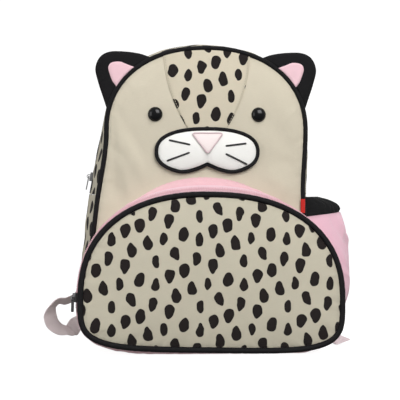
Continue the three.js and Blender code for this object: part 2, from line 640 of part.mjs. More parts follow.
// Side pocket: a pouch on the right of the gusset, drawn in at its mouth by an elastic band
function pouchReach(z) {
  const up = THREE.MathUtils.clamp((z - POUCH_LOW_HEIGHT) / (POUCH_BAND_HEIGHT - POUCH_LOW_HEIGHT), 0, 1);
  const full = POUCH_REACH * Math.sqrt(1 - (1 - up) ** 4) * (1 - POUCH_DRAW * up ** 6);
  const neck = THREE.MathUtils.clamp((z - POUCH_BAND_HEIGHT) / BAND_WIDTH, 0, 1);
  return mix(full, BAND_REACH, neck ** POUCH_NECK);
}
function pouchSkin(z, depth, inset) {
  const y = mix(POUCH_FRONT_Y, POUCH_BACK_Y, depth);
  const bow = Math.max(0, 1 - Math.abs(2 * depth - 1) ** 2.4) ** 0.6;
  return bodySkin(shareAtHeight(z), y, -(POUCH_CLEARANCE + CLOTH - inset) - pouchReach(z) * bow);
}
function pouchBand(z0, z1, rows) {
  const depths = steps(0, 1, 14).map((share) => (1 - Math.cos(Math.PI * share)) / 2);
  return wall(steps(z0, z1, rows).map((z) => ({
    outer: depths.map((depth) => pouchSkin(z, depth, 0)),
    inner: depths.map((depth) => pouchSkin(z, depth, CLOTH)),
  })));
}
add('side_pocket', pouchBand(POUCH_LOW_HEIGHT, POUCH_BAND_HEIGHT - GAP, 8), LOOKS.pink);
add('side_pocket_band', pouchBand(POUCH_BAND_HEIGHT, POUCH_BAND_HEIGHT + BAND_WIDTH, 3), LOOKS.black);

// Label tab: a plain folded ribbon in front of the piping, by the side pocket's band
const tabAt = body.pointAt(shareAtHeight(TAB_HEIGHT + TAB_LENGTH / 2));
const tab = add('label_tab', new THREE.BoxGeometry(TAB_WIDTH, TAB_THICK, TAB_LENGTH), LOOKS.red);
const tabY = FACE_Y - PIPING_RADIUS - GAP - TAB_THICK / 2;
tab.position.set(tabAt.x - TAB_WIDTH / 4, tabY, TAB_HEIGHT + TAB_LENGTH / 2);

// A flat band carried along a path, its width lying along the side direction that each point gives
function carryBand(route, width, thick, count, corners = 4) {
  const path = new THREE.CatmullRomCurve3(route.map((row) => row.at), false, 'centripetal');
  const last = route.length - 1;
  return loft(steps(0, 1, count).map((share) => {
    const at = path.getPoint(share);
    const along = path.getTangent(share);
    const row = Math.min(last - 1, Math.floor(share * last));
    const side = route[row].side.clone().lerp(route[row + 1].side, share * last - row);
    side.addScaledVector(along, -side.dot(along)).normalize();
    const out = along.clone().cross(side);
    return steps(0, 2 * Math.PI, corners).slice(0, -1).map((turn) => {
      const angle = turn + Math.PI / corners;
      const round = corners > 4 ? 0.5 : 1;
      const [c, s] = [Math.cos(angle), Math.sin(angle)];
      const grow = corners > 4 ? 1 : Math.SQRT2;
      const w = Math.sign(c) * Math.abs(c) ** round * grow;
      const t = Math.sign(s) * Math.abs(s) ** round * grow;
      return at.clone().addScaledVector(side, w * width / 2).addScaledVector(out, t * thick / 2);
    });
  }));
}

// Shoulder straps
function strapPoint(side, { across, back, down }) {
  return V3(side * mix(STRAP_TOP_X, STRAP_LOW_X, across), -FACE_Y + BACK_PADDING + GAP + STRAP_STAND_OFF * back,
    mix(STRAP_TOP_HEIGHT, STRAP_LOW_HEIGHT, down));
}

// Buckle: a ladder lock with two windows, on the strap's low end
function buckleGeometry() {
  const [w, l] = [BUCKLE_WIDTH / 2, BUCKLE_LENGTH];
  const plate = new THREE.Shape([V2(-w, 0), V2(w, 0), V2(w, l), V2(-w, l)]);
  const half = w - BUCKLE_BAR - GAP;
  const windowLength = (l - 3 * BUCKLE_BAR) / 2;
  for (const start of [BUCKLE_BAR, 2 * BUCKLE_BAR + windowLength]) {
    plate.holes.push(new THREE.Path([V2(-half, start), V2(-half, start + windowLength),
      V2(half, start + windowLength), V2(half, start)]));
  }
  return new THREE.ExtrudeGeometry(plate, { depth: BUCKLE_THICK, bevelEnabled: false })
    .translate(0, 0, -BUCKLE_THICK / 2);
}

// The strip of webbing through the buckle: up behind it, round its middle bar and down in front
function webbingThroughBuckle(frame) {
  const bar = BUCKLE_BAR + (BUCKLE_LENGTH - 3 * BUCKLE_BAR) / 2;
  const clear = BUCKLE_THICK / 2 + WEBBING_THICK / 2 + 2 * GAP;
  const spot = (l, n) => ({
    at: frame.origin.clone().addScaledVector(frame.down, l).addScaledVector(frame.out, n), side: frame.side,
  });
  return [spot(BUCKLE_LENGTH + 4, -clear), spot(bar + BUCKLE_BAR, -clear - 0.2), spot(bar, -clear * 0.9),
    spot(bar - clear * 0.8, 0), spot(bar, clear * 0.9), spot(bar + BUCKLE_BAR, clear + 0.2),
    spot(BUCKLE_LENGTH + 4, clear)];
}

for (const [word, side, slantDeg] of [['left', -1, 0], ['right', 1, 80]]) {
  const route = STRAP_ROUTE.map((row) => ({ at: strapPoint(side, row), side: ACROSS }));
  add(`strap_${word}`, carryBand(route, STRAP_WIDTH, STRAP_THICK, 15, 8), LOOKS.black);
  const end = route[route.length - 1].at;
  const down = end.clone().sub(route[route.length - 2].at).normalize();
  const across = ACROSS.clone().addScaledVector(down, -down.x).normalize();
  const ladderSide = across.clone().multiplyScalar(-side);
  const out = down.clone().cross(across).multiplyScalar(-1);
  const flip = out.y < 0 ? -1 : 1;
  out.multiplyScalar(flip);
  const origin = end.clone().addScaledVector(down, GAP);
  const buckle = add(`buckle_${word}`, buckleGeometry(), LOOKS.plastic);
  const basis = new THREE.Matrix4().makeBasis(down.clone().cross(out), down, out);
  buckle.quaternion.setFromRotationMatrix(basis);
  buckle.position.copy(origin);

  // Anchor tab in the low side seam of the back, slanting from the seam to the webbing
  const share = shareAtHeight(ANCHOR_HEIGHT, side);
  const seamPoint = body.pointAt(share);
  const seamOut = body.outAt(share);
  const slant = seamOut.clone().rotateAround(V2(0, 0), side * THREE.MathUtils.degToRad(slantDeg));
  const seamUp = V2(-seamOut.y, seamOut.x).multiplyScalar(side * ANCHOR_WIDTH / 2);
  const acrossEnd = V2(-slant.y, slant.x).multiplyScalar(side * (WEBBING_WIDTH / 2 + GAP));
  const root = seamPoint.clone().addScaledVector(seamOut, PIPING_RADIUS + GAP);
  const tip = root.clone().addScaledVector(slant, ANCHOR_LENGTH * (1 + slantDeg / 120));
  const plan = new THREE.Shape([root.clone().sub(seamUp), tip.clone().sub(acrossEnd), tip.clone().add(acrossEnd),
    root.clone().add(seamUp)]);
  add(`anchor_${word}`, new THREE.ExtrudeGeometry(plan, { depth: ANCHOR_THICK, bevelEnabled: false })
    .rotateX(Math.PI / 2).translate(0, -FACE_Y + ANCHOR_THICK / 2, 0), LOOKS.webbing);
  const leave = V3(slant.x, 0, slant.y);
  const seamSide = V3(acrossEnd.x, 0, acrossEnd.y);
  const anchorEnd = V3(tip.x, -FACE_Y, tip.y).addScaledVector(leave, GAP);
  const ladder = webbingThroughBuckle({ origin, down, out, side: ladderSide });
  const inner = ladder.slice(0, 4);
  const outer = ladder.slice(4);
  const sewn = [{ at: anchorEnd, side: seamSide },
    { at: anchorEnd.clone().addScaledVector(leave, 2 * WEBBING_THICK), side: seamSide }];
  if (side < 0) {
    const loop = WEBBING_LOOP.map((row) => ({
      at: V3(anchorEnd.x - WEBBING_LOOP_REACH * row.out, -FACE_Y - WEBBING_LOOP_REACH * row.ahead,
        WEBBING_LOOP_LOW + WEBBING_LOOP_RISE * row.up),
      side: V3(...row.width),
    }));
    add('webbing_left', carryBand([...sewn, ...loop, ...inner, ...outer], WEBBING_WIDTH, WEBBING_THICK, 54),
      LOOKS.webbing);
  } else {
    const beside = V3(anchorEnd.x - 2 * WEBBING_THICK, -FACE_Y + WEBBING_WIDTH / 2, anchorEnd.z + ANCHOR_LENGTH);
    const tail = WEBBING_TAIL.map((row) => ({
      at: V3(anchorEnd.x + WEBBING_TAIL_REACH * row.out,
        -FACE_Y + STRAP_SWING - WEBBING_TAIL_LENGTH * row.ahead, WEBBING_TAIL_RISE * row.up),
      side: V3(...row.width),
    }));
    add('webbing_right', carryBand([...sewn, { at: beside, side: ladderSide }, ...inner, ...outer, ...tail],
      WEBBING_WIDTH, WEBBING_THICK, 50), LOOKS.webbing);
  }
}

// Handle: a loop of webbing that leans back from the seam at the top
const leanBack = THREE.MathUtils.degToRad(HANDLE_TILT_DEG);
const rise = V3(0, Math.sin(leanBack), Math.cos(leanBack));
const handleSide = V3(0, Math.cos(leanBack), -Math.sin(leanBack));
const handleX = HANDLE_SPAN / 2;
const handleSeat = (side) => {
  const p = V2(headX + side * handleX, crownTop(headX + side * handleX));
  return V3(p.x, -FACE_Y, p.y).addScaledVector(rise, PIPING_RADIUS + 3 * GAP);
};
const handleRoute = [-1, -0.98, -0.7, 0, 0.7, 0.98, 1].map((across) => {
  const lift = across ** 2 === 1 ? 0 : HANDLE_RISE * (1 - Math.abs(across) ** 5);
  const seat = handleSeat(Math.sign(across) || 1);
  const at = V3(headX + handleX * across, seat.y, seat.z).addScaledVector(rise, lift);
  return { at, side: handleSide };
});
add('handle', carryBand(handleRoute, WEBBING_WIDTH, WEBBING_THICK, 18), LOOKS.webbing);

// Slider and pull: the pull's window rides on the slider's crown
function toManifold(geometry) {
  const plain = geometry.index ? geometry.toNonIndexed() : geometry;
  const places = plain.getAttribute('position');
  const seen = new Map();
  const vertices = [];
  const corners = [];
  for (let i = 0; i < places.count; i += 1) {
    const p = [places.getX(i), places.getY(i), places.getZ(i)];
    const key = p.map((value) => Math.round(value * 1e4)).join(',');
    if (!seen.has(key)) {
      seen.set(key, vertices.length / 3);
      vertices.push(...p);
    }
    corners.push(seen.get(key));
  }
  return new wasm.Manifold(new wasm.Mesh({
    numProp: 3, vertProperties: new Float32Array(vertices), triVerts: new Uint32Array(corners),
  }));
}
function fromManifold(solid) {
  const mesh = solid.getMesh();
  const geometry = new THREE.BufferGeometry();
  geometry.setAttribute('position', new THREE.BufferAttribute(Float32Array.from(mesh.vertProperties), 3));
  geometry.setIndex(Array.from(mesh.triVerts));
  geometry.computeVertexNormals();
  return geometry;
}
function sliderGeometry() {
  const [w, l] = [SLIDER_WIDTH / 2, SLIDER_LENGTH / 2];
  const outline = new THREE.Shape([V2(-w, l), V2(-w * 0.7, -l), V2(w * 0.7, -l), V2(w, l)]);
  const plate = new THREE.ExtrudeGeometry(outline, { depth: SLIDER_THICK, bevelEnabled: false });
  const hinge = SLIDER_THICK + HINGE_LIFT;
  const arch = new THREE.Shape();
  arch.moveTo(CROWN_OUTER, SLIDER_THICK - 0.5);
  arch.lineTo(CROWN_OUTER, hinge);
  arch.absarc(0, hinge, CROWN_OUTER, 0, Math.PI, false);
  arch.lineTo(-CROWN_OUTER, SLIDER_THICK - 0.5);
  arch.lineTo(-CROWN_INNER, SLIDER_THICK - 0.5);
  arch.lineTo(-CROWN_INNER, hinge);
  arch.absarc(0, hinge, CROWN_INNER, Math.PI, 0, true);
  arch.lineTo(CROWN_INNER, SLIDER_THICK - 0.5);
  const crown = new THREE.ExtrudeGeometry(arch, { depth: CROWN_WIDTH, bevelEnabled: false, curveSegments: 6 })
    .translate(0, 0, -CROWN_WIDTH / 2).rotateY(Math.PI / 2).rotateX(Math.PI / 2);
  return fromManifold(toManifold(plate).add(toManifold(crown)));
}
function pullGeometry() {
  const half = PULL_WIDTH / 2;
  const slot = CROWN_WIDTH / 2 + PULL_CLEARANCE;
  const windowEnd = -(CROWN_OUTER + PULL_CLEARANCE + 0.3);
  const outline = new THREE.Shape([V2(-half, PULL_BAR), V2(-half, -PULL_LENGTH + 1),
    V2(-half + 1, -PULL_LENGTH), V2(half - 1, -PULL_LENGTH), V2(half, -PULL_LENGTH + 1), V2(half, PULL_BAR)]);
  outline.holes.push(new THREE.Path([V2(-slot, -PULL_BAR), V2(slot, -PULL_BAR), V2(slot, windowEnd),
    V2(-slot, windowEnd)]));
  return new THREE.ExtrudeGeometry(outline, { depth: PULL_THICK, bevelEnabled: false })
    .translate(0, 0, -PULL_THICK / 2);
}
function addSlider(name, skinAt) {
  const here = skinAt(0, 0);
  const rising = skinAt(1, 0).sub(here).normalize();
  const outward = rising.clone().cross(skinAt(0, 1).sub(here)).normalize();
  if (outward.x > 0) outward.negate();
  const mount = new THREE.Group();
  mount.position.copy(here).addScaledVector(outward, GAP);
  const basis = new THREE.Matrix4().makeBasis(rising.clone().cross(outward), rising, outward);
  mount.quaternion.setFromRotationMatrix(basis);
  scene.add(mount);
  add(`${name}_slider`, sliderGeometry(), LOOKS.metal, mount);
  const pull = add(`${name}_pull`, pullGeometry(), LOOKS.metal, mount);
  pull.position.z = SLIDER_THICK + HINGE_LIFT;
}
const mainShare = shareAtHeight(MAIN_SLIDER_HEIGHT, -1);
addSlider('main', (up, back) => bodySkin(mainShare + up / body.whole, ZIP_MIDDLE_Y + back, ZIP_RECESS));
const pocketShare = shareAtHeight(POCKET_SLIDER_HEIGHT, -1, rim);
const sliderPart = 1 - POCKET_ZIP_SHARE / 2;
addSlider('pocket', (up, back) => pocketSkin(pocketShare + up / rim.whole, sliderPart - back / 30, 0));

export default scene;
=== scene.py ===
"""The looks of a small child's backpack with a cat's face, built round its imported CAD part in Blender 4.5.

Sizes are in millimetres unless a name says otherwise, and surface() turns them into the metres of the frame.
"""
import math

import bpy
import numpy as np
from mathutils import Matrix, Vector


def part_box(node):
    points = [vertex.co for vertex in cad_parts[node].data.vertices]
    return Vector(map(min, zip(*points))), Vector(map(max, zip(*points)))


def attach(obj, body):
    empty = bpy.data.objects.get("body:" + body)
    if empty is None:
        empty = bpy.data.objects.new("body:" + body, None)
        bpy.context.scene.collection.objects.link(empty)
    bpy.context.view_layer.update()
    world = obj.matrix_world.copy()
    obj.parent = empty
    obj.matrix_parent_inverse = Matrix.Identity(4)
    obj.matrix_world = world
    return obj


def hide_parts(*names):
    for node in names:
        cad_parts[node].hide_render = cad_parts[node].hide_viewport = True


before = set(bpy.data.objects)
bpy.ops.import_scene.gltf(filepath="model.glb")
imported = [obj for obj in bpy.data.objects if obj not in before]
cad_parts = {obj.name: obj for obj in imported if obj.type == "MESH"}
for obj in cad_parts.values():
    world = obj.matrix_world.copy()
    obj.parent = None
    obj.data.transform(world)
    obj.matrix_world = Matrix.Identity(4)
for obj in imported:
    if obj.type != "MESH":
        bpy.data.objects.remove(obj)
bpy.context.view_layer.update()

# Camera, light and floor. The bag stands on a white floor that sweeps up all round it, in soft light from the
# front and above. The camera is level, a little to the left of straight ahead, at half the bag's height.
MM = 0.001
SHARP_FROM_DEG = 55
CAMERA_DISTANCE = 1200
CAMERA_TURN_DEG = -4
CAMERA_HEIGHT = 150
CAMERA_AIM = (-0.5, -45)
CAMERA_LENS = 108
SWEEP_FLAT, SWEEP_RADIUS, SWEEP_TOP = 2600, 900, 5000
LIGHTS = [
    {"name": "window_above", "at": (0.55, -1.2, 1.25), "size": 1.1, "watts": 26},
    {"name": "card_left", "at": (-1.5, -0.75, 0.45), "size": 1.2, "watts": 10},
]
LIGHT_ABOVE, LIGHT_BELOW = 0.5, 0.16
PAPER_GLOW = 0.9


def paint(red, green, blue):
    """A screen colour from 0 to 255 as the linear colour that shaders use."""
    parts = [c / 255 for c in (red, green, blue)]
    return tuple(c / 12.92 if c <= 0.04045 else ((c + 0.055) / 1.055) ** 2.4 for c in parts) + (1.0,)


class Reading:
    """A number read inside a finish. Sums and products of readings add the Math nodes that work them out."""

    def __init__(self, finish, socket):
        self.finish = finish
        self.socket = socket

    def by(self, operation, *values):
        return self.finish.node("Math", {"operation": operation}, dict(enumerate(values)))

    def __add__(self, other):
        return self.by("ADD", self, other)

    def __sub__(self, other):
        return self.by("SUBTRACT", self, other)

    def __rsub__(self, other):
        return self.by("SUBTRACT", other, self)

    def __mul__(self, other):
        return self.by("MULTIPLY", self, other)

    def __truediv__(self, other):
        return self.by("DIVIDE", self, other)

    __radd__ = __add__
    __rmul__ = __mul__

    def sine(self):
        return self.by("SINE", self)

    def floor(self):
        return self.by("FLOOR", self)

    def least(self, other):
        return self.by("MINIMUM", self, other)

    def rising(self, low, high):
        """0 below low, 1 above high and smooth between them."""
        return self.finish.node("MapRange", {"interpolation_type": "SMOOTHSTEP"},
                                {"Value": self, "From Min": low, "From Max": high})


class Finish:
    """One material. node() adds any node from its type, its settings and what its sockets get."""

    def __init__(self, name, **fixed):
        self.material = bpy.data.materials.new(name)
        self.material.use_nodes = True
        self.tree = self.material.node_tree
        self.shader = self.tree.nodes["Principled BSDF"]
        self.wear(**{socket.replace("_", " ").title().replace("Ior", "IOR"): value
                     for socket, value in fixed.items()})

    def wear(self, **sockets):
        for socket, value in sockets.items():
            self.feed(self.shader.inputs[socket], value)

    def feed(self, socket, value):
        if isinstance(value, Reading):
            self.tree.links.new(value.socket, socket)
        else:
            socket.default_value = value

    def node(self, kind, settings=None, inputs=None, output=0):
        made = self.tree.nodes.new("ShaderNode" + kind)
        for key, value in (settings or {}).items():
            setattr(made, key, value)
        for key, value in (inputs or {}).items():
            self.feed(made.inputs[key], value)
        return Reading(self, made.outputs[output])

    def mix(self, share, low, high):
        """The colour low where share is 0 and high where it is 1."""
        return self.node("Mix", {"data_type": "RGBA"}, {0: share, 6: low, 7: high}, 2)

    def noise(self, where, scale, detail=2.0):
        return self.node("TexNoise", {}, {"Vector": where, "Scale": scale, "Detail": detail})

    def split(self, vector):
        """The x and y parts of a vector."""
        apart = self.node("SeparateXYZ", {}, {0: vector})
        return apart, Reading(self, apart.socket.node.outputs[1])

    def place(self):
        """The place on the piece, in metres."""
        return self.node("TexCoord", output="Object")

    def cloth(self):
        """The cloth's own flat place in millimetres, whole and in its two parts."""
        flat = self.node("UVMap", {"uv_map": "Cloth"})
        return (flat, *self.split(flat))

    def relief(self, height, strength=1.0, distance=1.0):
        """A normal that follows a small height."""
        return self.node("Bump", {}, {"Strength": strength, "Distance": distance, "Height": height})


def set_out(x, y, z):
    """Places from their three coordinates, each as large as the largest of them needs."""
    return np.stack(np.broadcast_arrays(x, y, z), -1)


def add_piece(name, mesh):
    """An object at the origin that holds the mesh, shaded smooth."""
    mesh.shade_smooth()
    piece = bpy.data.objects.new(name, mesh)
    bpy.context.scene.collection.objects.link(piece)
    return piece


def surface(name, grid, flat, loops="", ends=None, seam=None):
    """One mesh through a grid of places in millimetres, with its faces turned outwards.

    Neighbours in the grid are joined by four-sided faces. loops holds "r" where the last row meets the first
    and "c" where the last column meets the first. ends "middle" closes the first and last row to their middle
    points, and "wall" closes them across, as the two ends of a wall. flat is the cloth's own flat place of
    each grid point in millimetres, kept as the UV map, and seam its distance from the nearest seam."""
    rows, columns = grid.shape[:2]
    number = np.arange(rows * columns).reshape(rows, columns)
    seam = np.full((rows, columns), 99.0) if seam is None else np.broadcast_to(seam, (rows, columns))
    flat = np.stack(np.broadcast_arrays(*flat), -1).astype(float)
    spread = flat
    if "r" in loops:
        number = np.vstack([number, number[:1]])
        spread = np.vstack([spread, 2 * spread[-1:] - spread[-2:-1]])
    if "c" in loops:
        number = np.hstack([number, number[:, :1]])
        spread = np.hstack([spread, 2 * spread[:, -1:] - spread[:, -2:-1]])

    def corners(cells):
        return [cells[:-1, :-1], cells[:-1, 1:], cells[1:, 1:], cells[1:, :-1]]

    faces = [np.stack(corners(number), -1).reshape(-1, 4)]
    maps = [np.stack(corners(spread), 2).reshape(-1, 4, 2)]
    places = grid.reshape(-1, 3)
    distance = seam.reshape(-1)
    for row, turn in ((0, 1), (rows - 1, -1)) if ends else ():
        ring = np.arange(columns) + row * columns
        ring_flat = flat[row]
        if ends == "middle":
            after = np.roll(ring, -1)
            middle = np.full(columns, len(places))
            places = np.vstack([places, grid[row].mean(0)])
            distance = np.append(distance, seam[row].mean())
            fan = np.stack([middle, after, ring], -1)
            fan_map = np.stack([np.broadcast_to(ring_flat.mean(0), ring_flat.shape),
                                np.roll(ring_flat, -1, 0), ring_flat], 1)
        else:
            half = columns // 2
            low, high = ring[:half], ring[half:][::-1]
            low_map, high_map = ring_flat[:half], ring_flat[half:][::-1]
            fan = np.stack([low[:-1], high[:-1], high[1:], low[1:]], -1)
            fan_map = np.stack([low_map[:-1], high_map[:-1], high_map[1:], low_map[1:]], 1)
        faces.append(fan[:, ::turn])
        maps.append(fan_map[:, ::turn])
    volume = 0
    for sides_of in faces:
        for k in range(1, sides_of.shape[1] - 1):
            a, b, c = (places[sides_of[:, i]] for i in (0, k, k + 1))
            volume += np.einsum("ij,ij->", a, np.cross(b, c))
    if volume < 0:
        faces = [part[:, ::-1] for part in faces]
        maps = [part[:, ::-1] for part in maps]
    mesh = bpy.data.meshes.new(name)
    mesh.from_pydata((places * MM).tolist(), [], [face for part in faces for face in part.tolist()])
    cloth_map = mesh.uv_layers.new(name="Cloth")
    cloth_map.data.foreach_set("uv", np.concatenate([part.reshape(-1) for part in maps]).astype(np.float32))
    edge = mesh.attributes.new("seam", "FLOAT", "POINT")
    edge.data.foreach_set("value", distance.astype(np.float32))
    piece = add_piece(name, mesh)
    mesh.set_sharp_from_angle(angle=math.radians(SHARP_FROM_DEG))
    return piece


bend = np.linspace(0, math.pi / 2, 24)
far = np.concatenate([[1], SWEEP_FLAT + SWEEP_RADIUS * np.sin(bend), [SWEEP_FLAT + SWEEP_RADIUS]])[:, None]
high = np.concatenate([[0], SWEEP_RADIUS * (1 - np.cos(bend)), [SWEEP_TOP]])[:, None]
turn = np.linspace(0, 2 * math.pi, 97)[None, :]
sweep_grid = set_out(far * np.cos(turn), far * np.sin(turn), high)
sweep = surface("studio_sweep", sweep_grid, (sweep_grid[..., 0], sweep_grid[..., 1]))
paper = Finish("white_paper", base_color=(0.35, 0.35, 0.35, 1), roughness=0.9, emission_color=(1, 1, 1, 1),
               emission_strength=PAPER_GLOW)
sweep.data.materials.append(paper.material)
sweep.visible_diffuse = False
sweep.visible_glossy = False
sweep.visible_shadow = False

camera_turn = math.radians(CAMERA_TURN_DEG)
camera = bpy.data.objects.new("camera", bpy.data.cameras.new("camera"))
camera.data.lens = CAMERA_LENS
camera.location = ((CAMERA_AIM[0] + CAMERA_DISTANCE * math.sin(camera_turn)) * MM,
                   (CAMERA_AIM[1] - CAMERA_DISTANCE * math.cos(camera_turn)) * MM, CAMERA_HEIGHT * MM)
camera.rotation_euler = (math.pi / 2, 0, camera_turn)
bpy.context.scene.collection.objects.link(camera)
bpy.context.scene.camera = camera

for row in LIGHTS:
    lamp = bpy.data.objects.new(row["name"], bpy.data.lights.new(row["name"], "AREA"))
    lamp.data.size = row["size"]
    lamp.data.energy = row["watts"]
    lamp.location = row["at"]
    aim = np.array([0, 0, 0.15]) - row["at"]
    lamp.rotation_euler = (math.acos(-aim[2] / np.linalg.norm(aim)), 0,
                           math.atan2(aim[1], aim[0]) - math.pi / 2)
    bpy.context.scene.collection.objects.link(lamp)
room = bpy.data.worlds.new("white_room")
room.use_nodes = True
direction = room.node_tree.nodes.new("ShaderNodeTexCoord")
apart = room.node_tree.nodes.new("ShaderNodeSeparateXYZ")
brightness = room.node_tree.nodes.new("ShaderNodeMapRange")
for socket, value in (("From Min", -1), ("From Max", 1), ("To Min", LIGHT_BELOW), ("To Max", LIGHT_ABOVE)):
    brightness.inputs[socket].default_value = value
room.node_tree.links.new(direction.outputs["Generated"], apart.inputs[0])
room.node_tree.links.new(apart.outputs["Z"], brightness.inputs["Value"])
room.node_tree.links.new(brightness.outputs[0], room.node_tree.nodes["Background"].inputs["Strength"])
room.node_tree.nodes["Background"].inputs["Color"].default_value = (1, 1, 1, 1)
bpy.context.scene.world = room
bpy.context.scene.view_settings.view_transform = "Standard"

# Face: one padded panel of plain beige woven cloth, cut to the bag's outline and sewn into the front seam.
# Its stuffing crowns it, the stitching puckers its edge, and the cheeks drag into a few soft folds.
CLOTH_THICK = 2
BODY_HALF_DEPTH = 45
BODY_HALF_WIDTH = 100
SHOULDER_HEIGHT, CROWN_HEIGHT, HIP_HEIGHT = 219, 83, 216.5
CROWN_ROUNDNESS, HIP_ROUNDNESS, HIP_SPREAD = 2.2, 6, 0.32
HEAD_X, LEAN_START = 6, 140
FACE_CROWN, CROWN_FULLNESS = 8, 2.2
PANEL_HALF, SEAM_ROOM, TOUCH = 1.5, 2.6, 0.3
FACE_BEIGE = paint(223, 214, 193)
FACE_FOLDS = [  # x0, z0, x1, z1, wide, high
    (-92, 236, -52, 166, 9, 1.9),
    (-76, 226, -44, 160, 6, -0.8),
    (-97, 212, -80, 150, 7, -0.9),
    (-88, 196, -66, 150, 6, 0.9),
    (-100, 176, -72, 138, 12, -1.8),
    (72, 274, 96, 206, 10, 0.9),
    (60, 250, 92, 196, 8, -0.7),
    (62, 176, 98, 160, 8, 0.9),
    (74, 190, 99, 180, 6, -0.6),
    (-60, 268, -84, 240, 9, 0.7),
]


def smooth(low, high, value):
    """0 below low, 1 above high and eased between them."""
    share = np.clip((value - low) / (high - low), 0, 1)
    return share * share * (3 - 2 * share)


def mix(low, high, share):
    return low + (high - low) * share


class Outline:
    """A closed outline read by the share of its length, from its top clockwise as the front shows it."""

    def __init__(self, points):
        self.points = np.vstack([points, points[:1]])
        self.lengths = np.concatenate([[0], np.cumsum(np.hypot(*np.diff(self.points, axis=0).T))])
        self.whole = self.lengths[-1]

    def at(self, share):
        goal = np.mod(share, 1) * self.whole
        return tuple(np.interp(goal, self.lengths, self.points[:, k]) for k in (0, 1))

    def out(self, share):
        """The outward direction: across the step between two points close before and after."""
        x0, z0 = self.at(share - 0.003)
        x1, z1 = self.at(share + 0.003)
        length = np.hypot(x1 - x0, z1 - z0)
        return -(z1 - z0) / length, (x1 - x0) / length

    def at_height(self, z, side=1):
        """The share of the length where the right side, or the left one for side -1, is at height z."""
        shares = np.linspace(0.02, 0.48, 2000) if side > 0 else np.linspace(0.98, 0.52, 2000)
        heights = self.at(shares)[1]
        return np.interp(z, heights[::-1], shares[::-1])


def reach(angle, half_width, height, roundness):
    """How far a rounded box goes out from its middle at an angle: a superellipse."""
    across = np.abs(np.cos(angle) / half_width) ** roundness
    up = np.abs(np.sin(angle) / height) ** roundness
    return (across + up) ** (-1 / roundness)


def dense(shape):
    return Outline(np.stack(shape(np.linspace(math.pi / 2, -1.5 * math.pi, 1440, endpoint=False)), -1))


def hip_width(z):
    """The body's width as a share of the shoulders': it grows with the square of the way down."""
    return 1 + HIP_SPREAD * (np.maximum(0, SHOULDER_HEIGHT - z) / HIP_HEIGHT) ** 2


def lean(z):
    return HEAD_X * smooth(LEAN_START, SHOULDER_HEIGHT, z)


def body_shape(angle):
    """A round crown over straighter sides that spread to the hips, leaning a little to the right above."""
    upper = np.sin(angle) >= 0
    far = reach(angle, BODY_HALF_WIDTH, np.where(upper, CROWN_HEIGHT, HIP_HEIGHT),
                np.where(upper, CROWN_ROUNDNESS, HIP_ROUNDNESS))
    z = SHOULDER_HEIGHT + far * np.sin(angle)
    return far * np.cos(angle) * hip_width(z) + lean(z), z


body = dense(body_shape)


def face_share(x, z):
    """How far out a point of the face is: 0 in its middle, 1 on the outline."""
    upper = z >= SHOULDER_HEIGHT
    height = np.where(upper, CROWN_HEIGHT, HIP_HEIGHT)
    roundness = np.where(upper, CROWN_ROUNDNESS, HIP_ROUNDNESS)
    across = np.abs(x - lean(z)) / (BODY_HALF_WIDTH * hip_width(z))
    up = np.abs(z - SHOULDER_HEIGHT) / height
    return np.minimum(1, (across ** roundness + up ** roundness) ** (1 / roundness))


def face_front(x, z):
    return -BODY_HALF_DEPTH - PANEL_HALF - FACE_CROWN * (1 - face_share(x, z) ** CROWN_FULLNESS)


def ripple(share, waves, seed):
    """Uneven small waves round a closed seam: three sines whose numbers of waves don't fit each other."""
    turn = 2 * math.pi * share
    return (np.sin(turn * round(waves) + seed) + 0.7 * np.sin(turn * round(1.618 * waves) + 2.1 * seed)
            + 0.5 * np.sin(turn * round(0.731 * waves) + 4.3 * seed)) / 2.2


def folds(x, z, table):
    """Soft folds: each row is a line whose height fades across it as a bell curve and to both its ends."""
    total = np.zeros(np.broadcast(x, z).shape)
    for x0, z0, x1, z1, wide, high in table:
        run = np.array([x1 - x0, z1 - z0])
        length = np.hypot(*run)
        along = ((x - x0) * run[0] + (z - z0) * run[1]) / length ** 2
        off = ((x - x0) * run[1] - (z - z0) * run[0]) / length + 2.5 * np.sin(along * 5 + wide)
        ends = smooth(-0.15, 0.3, along) * smooth(-0.15, 0.3, 1 - along)
        total = total + high * np.exp(-(off / wide) ** 2) * ends
    return total


def sew_in(piece, finish, slot, *nodes):
    """Gives the piece its finish, lets it ride on the bag and stand for its CAD nodes."""
    piece.data.materials.append(finish.material)
    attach(piece, "bag")
    if nodes:
        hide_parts(*nodes)
    return piece


def pad_grid(outline, inset, rings, count, front_at, back_at):
    """A padded panel's grid: the outline shrinks to its middle ring by ring, on the front and then the back.

    front_at and back_at give the depth from x, z, the ring's share from the middle, the share of the length
    and the distance from the edge."""
    share = np.arange(count) / count
    x, z = outline.at(share)
    out_x, out_z = outline.out(share)
    edge = np.stack([x - out_x * inset, z - out_z * inset], -1)
    middle = edge.mean(0)
    front_rings = 1 - (1 - np.linspace(0.012, 1, rings)) ** 1.5
    ring = np.concatenate([front_rings, [1, 0.93, 0.6, 0.012]])[:, None]
    plan = middle + (edge - middle) * ring[..., None]
    off = (1 - ring) * np.hypot(*(edge - middle).T)
    front = front_at(plan[..., 0], plan[..., 1], ring, share, off)
    back = back_at(plan[..., 0], plan[..., 1], ring, share, off)
    y = np.where(np.arange(len(ring))[:, None] < rings, front, back)
    return np.stack([plan[..., 0], y, plan[..., 1]], -1), (plan[..., 0], plan[..., 1]), off


def pucker(share, off, whole, high, seed, length=7.5, decay=5):
    """Small waves that the seam draws into the cloth: a ripple that dies away from the edge."""
    return high * ripple(share, whole / length, seed) * np.exp(-off / decay)


